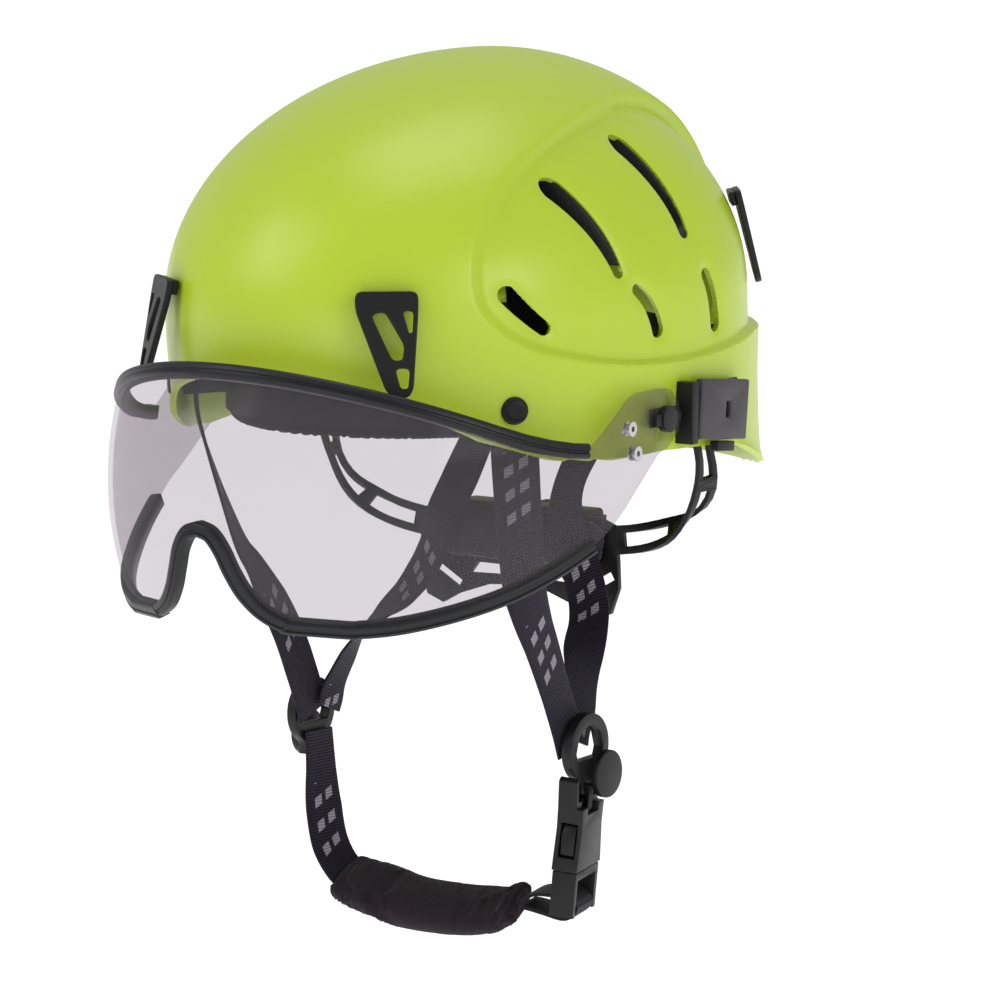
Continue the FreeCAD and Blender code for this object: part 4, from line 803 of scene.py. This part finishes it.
def frame_at(point, across, up, outward):
    """The matrix whose X, Y and Z columns are across, up and outward, at a point in millimetres."""
    made = Matrix((across, up, outward)).transposed().to_4x4()
    made.translation = Vector(point) * MM
    return made


def joined(name, *pieces):
    """Joins mesh objects into the first and names it."""
    whole = bmesh.new()
    for piece in pieces:
        whole.from_mesh(piece.data)
    data = bpy.data.meshes.new(name)
    whole.to_mesh(data)
    whole.free()
    for piece in pieces:
        bpy.data.objects.remove(piece)
    data.shade_smooth()
    data.set_sharp_from_angle(angle=math.radians(50))
    obj = bpy.data.objects.new(name, data)
    bpy.context.scene.collection.objects.link(obj)
    return obj


# %% Lamp clips
CLIP_PLATE = [(-12.2, 0.0), (11.6, 0.0), (11.6, -8.0), (9.4, -37.0), (7.5, -40.0), (2.0, -40.0),
              (-1.0, -37.5), (-12.2, -7.0)]
CLIP_FOOT = [(-11, -0.2), (11, -0.2), (11, -6), (-11, -6)]
CLIP_WINDOWS = [[(-6.2, -8.8), (-1.0, -7.6), (6.2, -20.5), (5.4, -26.0), (1.6, -26.0)],
                [(5.6, -7.4), (9.8, -7.4), (9.3, -15.5), (8.0, -15.8)],
                [(2.6, -29.0), (8.2, -29.0), (7.4, -36.6), (4.6, -36.6)]]
CLIPS = {"front": (50.5, 52.5, -1, 0, DOME),
         "rear": (83.0, 80.0, 1, 14, dict(width=108.4, rear=99.0, rise=92.6))}
for label, (x, z, toward, lean, on) in CLIPS.items():
    reach = on["front"] if toward < 0 else on["rear"]
    y = toward * reach * math.sqrt(1 - (x / on["width"]) ** 2 - ((z - LEVEL) / on["rise"]) ** 2)
    outward = Vector((x / on["width"] ** 2, y / reach ** 2, (z - LEVEL) / on["rise"] ** 2)).normalized()
    up = (Vector((0, 0, 1)) - outward * outward.z).normalized()
    across = up.cross(outward)
    turned = Matrix.Rotation(math.radians(lean), 3, across)
    up, outward = turned @ up, turned @ outward
    spot = Vector((x, y + MIDDLE, z))
    for name, side in SIDES.items():
        mirror = Matrix.Scale(-1, 4, (1, 0, 0)) if side < 0 else Matrix.Identity(4)
        pieces = []
        for outline, windows, stand, thick in ((round_corners(CLIP_PLATE, 3.0),
                                                [round_corners(w, 2.2) for w in CLIP_WINDOWS], 4.4, 2.6),
                                               (round_corners(CLIP_FOOT, 1.0), [], 1.95, 2.3)):
            place = mirror @ frame_at(spot + outward * stand, across, up, outward)
            pieces.append(plate("clip_part", outline, windows, thick, 0.55, place))
        clip = joined("lamp_clip_%s_%s_moulding" % (label, name), *pieces)
        dress(clip, "lamp_clip_%s_%s" % (label, name), BLACK, "black_plastic",
              "lamp_clip_%s_%s" % (label, name))
print("four lamp clips")

# %% Strap buttons
BUTTON_STAND = 1.2
for name, side in SIDES.items():
    low, high = (Vector(v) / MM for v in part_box("strap_button_" + name))
    outward = Vector((0.75 * side, -0.66, 0)).normalized()
    far_out = (low + high) / 2 + outward * 40
    hit = helmet_shell.ray_cast(far_out * MM, -outward)[1]
    middle = hit / MM + outward * BUTTON_STAND
    rings, round_turn = [], np.linspace(0, 2 * math.pi, 40, endpoint=False)
    across, up = outward.cross(Vector((0, 0, 1))).normalized(), Vector((0, 0, 1))
    for radius, lift in ((3.6, -1.6), (5.0, -1.5), (5.4, -0.4), (5.1, 0.8), (4.4, 1.4), (3.0, 1.8),
                         (1.4, 1.55), (0.2, 1.5)):
        rings.append([middle + outward * lift + across * radius * math.cos(t) + up * radius * math.sin(t)
                      for t in round_turn])
    faces = [[i * 40 + k, i * 40 + (k + 1) % 40, (i + 1) * 40 + (k + 1) % 40, (i + 1) * 40 + k]
             for i in range(len(rings) - 1) for k in range(40)]
    button = make_mesh("strap_rivet_" + name, [p for ring in rings for p in ring], faces, sharp=60)
    dress(button, "helmet", BLACK, "black_plastic", "strap_button_" + name)
print("two strap buttons")

# %% [markdown]
# ## Bevelled mouldings
# The buckle, dividers, adapters, knobs and cradle keep their CAD form. Their edges are rounded so
# that they catch the light the way moulded plastic does.

# %% Rounded copies of CAD pieces
BODY_OF = {name: body for body, empty in frame["bodies"].items()
           for name, obj in frame["nodes"].items() if obj.parent is empty}
ROUNDED = {"adapter_carrier": 0.6, "adapter_face": 1.1, "adapter_latch": 0.5, "visor_knob": 0.7,
           "divider": 0.7, "divider_disc": 0.6, "buckle_socket": 0.8, "buckle_tongue": 0.5,
           "buckle_prong": 0.4, "buckle_link": 0.4, "nape_frame": 0.7, "adjuster_housing": 1.2,
           "adjuster_wheel": 0.4, "headband": 0.4, "shell_hooks": 0.4}


def rounded_copy(node_name, wide):
    """A bevelled copy of a CAD node's mesh, with flat faces merged first."""
    data = frame["nodes"][node_name].data.copy()
    work = bmesh.new()
    work.from_mesh(data)
    bmesh.ops.remove_doubles(work, verts=work.verts, dist=0.00001)
    bmesh.ops.dissolve_limit(work, angle_limit=math.radians(2.0), verts=work.verts, edges=work.edges)
    work.to_mesh(data)
    work.free()
    data.materials.clear()
    obj = bpy.data.objects.new(node_name + "_moulding", data)
    bpy.context.scene.collection.objects.link(obj)
    bevel = obj.modifiers.new("edges", "BEVEL")
    bevel.width, bevel.segments, bevel.limit_method = wide * MM, 3, "ANGLE"
    bevel.angle_limit, bevel.use_clamp_overlap, bevel.harden_normals = math.radians(38), True, False
    return apply_modifiers(obj, 45)


for name in sorted(frame["nodes"]):
    stem = name.replace("_left", "").replace("_right", "").replace("_front", "").replace("_rear", "")
    if stem in ROUNDED:
        finish = GREY if stem == "adapter_face" else (TAPE if stem == "buckle_link" else BLACK)
        slot_name = {"adapter_face": "adapter_grey", "buckle_link": "webbing"}.get(stem, "black_plastic")
        dress(rounded_copy(name, ROUNDED[stem]), BODY_OF[name], finish, slot_name, name)

# %% [markdown]
# ## Pads
# The pads are foam in a sewn cover. Sculpting folds by hand would look drawn, so cloth makes them.
# Each pad starts as an even mesh of its CAD form, ten times its size, since cloth settles better at
# that scale. Its edges are held, as by a seam, and the slack cloth between them is blown up. How far
# a point may move is capped, which does much of the shaping.

# %% Cloth pads
def edge_distance(node_name, points):
    """How far each point is from the nearest sharp edge of a CAD node, in metres."""
    work = bmesh.new()
    work.from_mesh(frame["nodes"][node_name].data)
    bmesh.ops.remove_doubles(work, verts=work.verts, dist=0.00001)
    spots = []
    for edge in work.edges:
        if len(edge.link_faces) == 2 and edge.calc_face_angle() > math.radians(35):
            a, b = (v.co for v in edge.verts)
            steps = max(2, int((b - a).length / 0.0015))
            spots += [a.lerp(b, k / steps) for k in range(steps + 1)]
    work.free()
    tree = KDTree(len(spots))
    for k, spot in enumerate(spots):
        tree.insert(spot, k)
    tree.balance()
    return np.array([tree.find(p)[2] for p in points])


def cushion(node_name, material, cell, swell, slack, frames=14):
    """A pad of slack cloth that swells by at most swell millimetres between its held edges."""
    data = frame["nodes"][node_name].data.copy()
    data.materials.clear()
    obj = bpy.data.objects.new(node_name + "_cushion", data)
    bpy.context.scene.collection.objects.link(obj)
    even = obj.modifiers.new("even", "REMESH")
    even.mode, even.voxel_size = "VOXEL", cell * MM
    apply_modifiers(obj, 80)
    count = len(obj.data.vertices)
    start = np.empty(count * 3)
    obj.data.vertices.foreach_get("co", start)
    start = start.reshape(-1, 3)
    free = smooth_step((edge_distance(node_name, [Vector(p) for p in start]) - 0.001) / 0.004)
    obj.data.vertices.foreach_set("co", (start * 10).ravel())
    held = obj.vertex_groups.new(name="held")
    for k in np.nonzero(free < 0.98)[0]:
        held.add([int(k)], float(1 - free[k]), "REPLACE")
    cloth_sim = obj.modifiers.new("cloth", "CLOTH").settings
    cloth_sim.quality, cloth_sim.mass, cloth_sim.time_scale = 5, 0.3, 1.0
    cloth_sim.tension_stiffness = cloth_sim.compression_stiffness = 20
    cloth_sim.bending_stiffness = 0.4
    cloth_sim.shrink_min = -slack
    cloth_sim.use_pressure, cloth_sim.uniform_pressure_force = True, 3.0
    cloth_sim.vertex_group_mass = "held"
    cloth_sim.pin_stiffness = 1.0
    cloth_sim.effector_weights.gravity = 0.05
    scene = bpy.context.scene
    for step in range(1, frames + 1):
        scene.frame_set(step)
    graph = bpy.context.evaluated_depsgraph_get()
    settled = np.empty(count * 3)
    obj.evaluated_get(graph).data.vertices.foreach_get("co", settled)
    obj.modifiers.clear()
    scene.frame_set(1)
    moved = settled.reshape(-1, 3) / 10 - start
    far = np.linalg.norm(moved, axis=1)
    moved *= (np.tanh(far / (swell * MM)) * swell * MM / np.maximum(far, 1e-9))[:, None]
    obj.data.vertices.foreach_set("co", (start + moved).ravel())
    obj.data.update()
    print(node_name, count, "points, moved", round(float(far.max() * 1000), 2), "mm")
    dress(obj, BODY_OF[node_name], material, "pad_fabric", node_name)
    obj.data.shade_smooth()
    return obj


PADS = [("chin_pad", PAD, 1.3, 2.0, 0.12), ("nape_pad", NAP, 1.5, 1.6, 0.06),
        ("brow_pad", PAD, 1.8, 1.4, 0.05), ("crown_pad", PAD, 2.2, 1.4, 0.05)]
for name, material, cell, swell, slack in PADS:
    cushion(name, material, cell, swell, slack)
print("four pads")

# %% [markdown]
# ## Finishes for the pieces that keep their CAD shape

# %% Frame materials
FINISH = {
    "impact_liner": FOAM, "crown_pad": PAD, "brow_pad": PAD, "nape_pad": NAP, "chin_pad": PAD,
    "crown_strap_lower": TAPE, "crown_strap_upper": TAPE, "chin_elastic": TAPE, "buckle_link": TAPE,
    "adapter_face_left": GREY, "adapter_face_right": GREY, "visor_eyelets": STEEL,
}
for name, obj in frame["nodes"].items():
    obj.data.materials.clear()
    obj.data.materials.append(FINISH.get(name, BLACK))
print(len(frame["nodes"]), "CAD nodes finished")
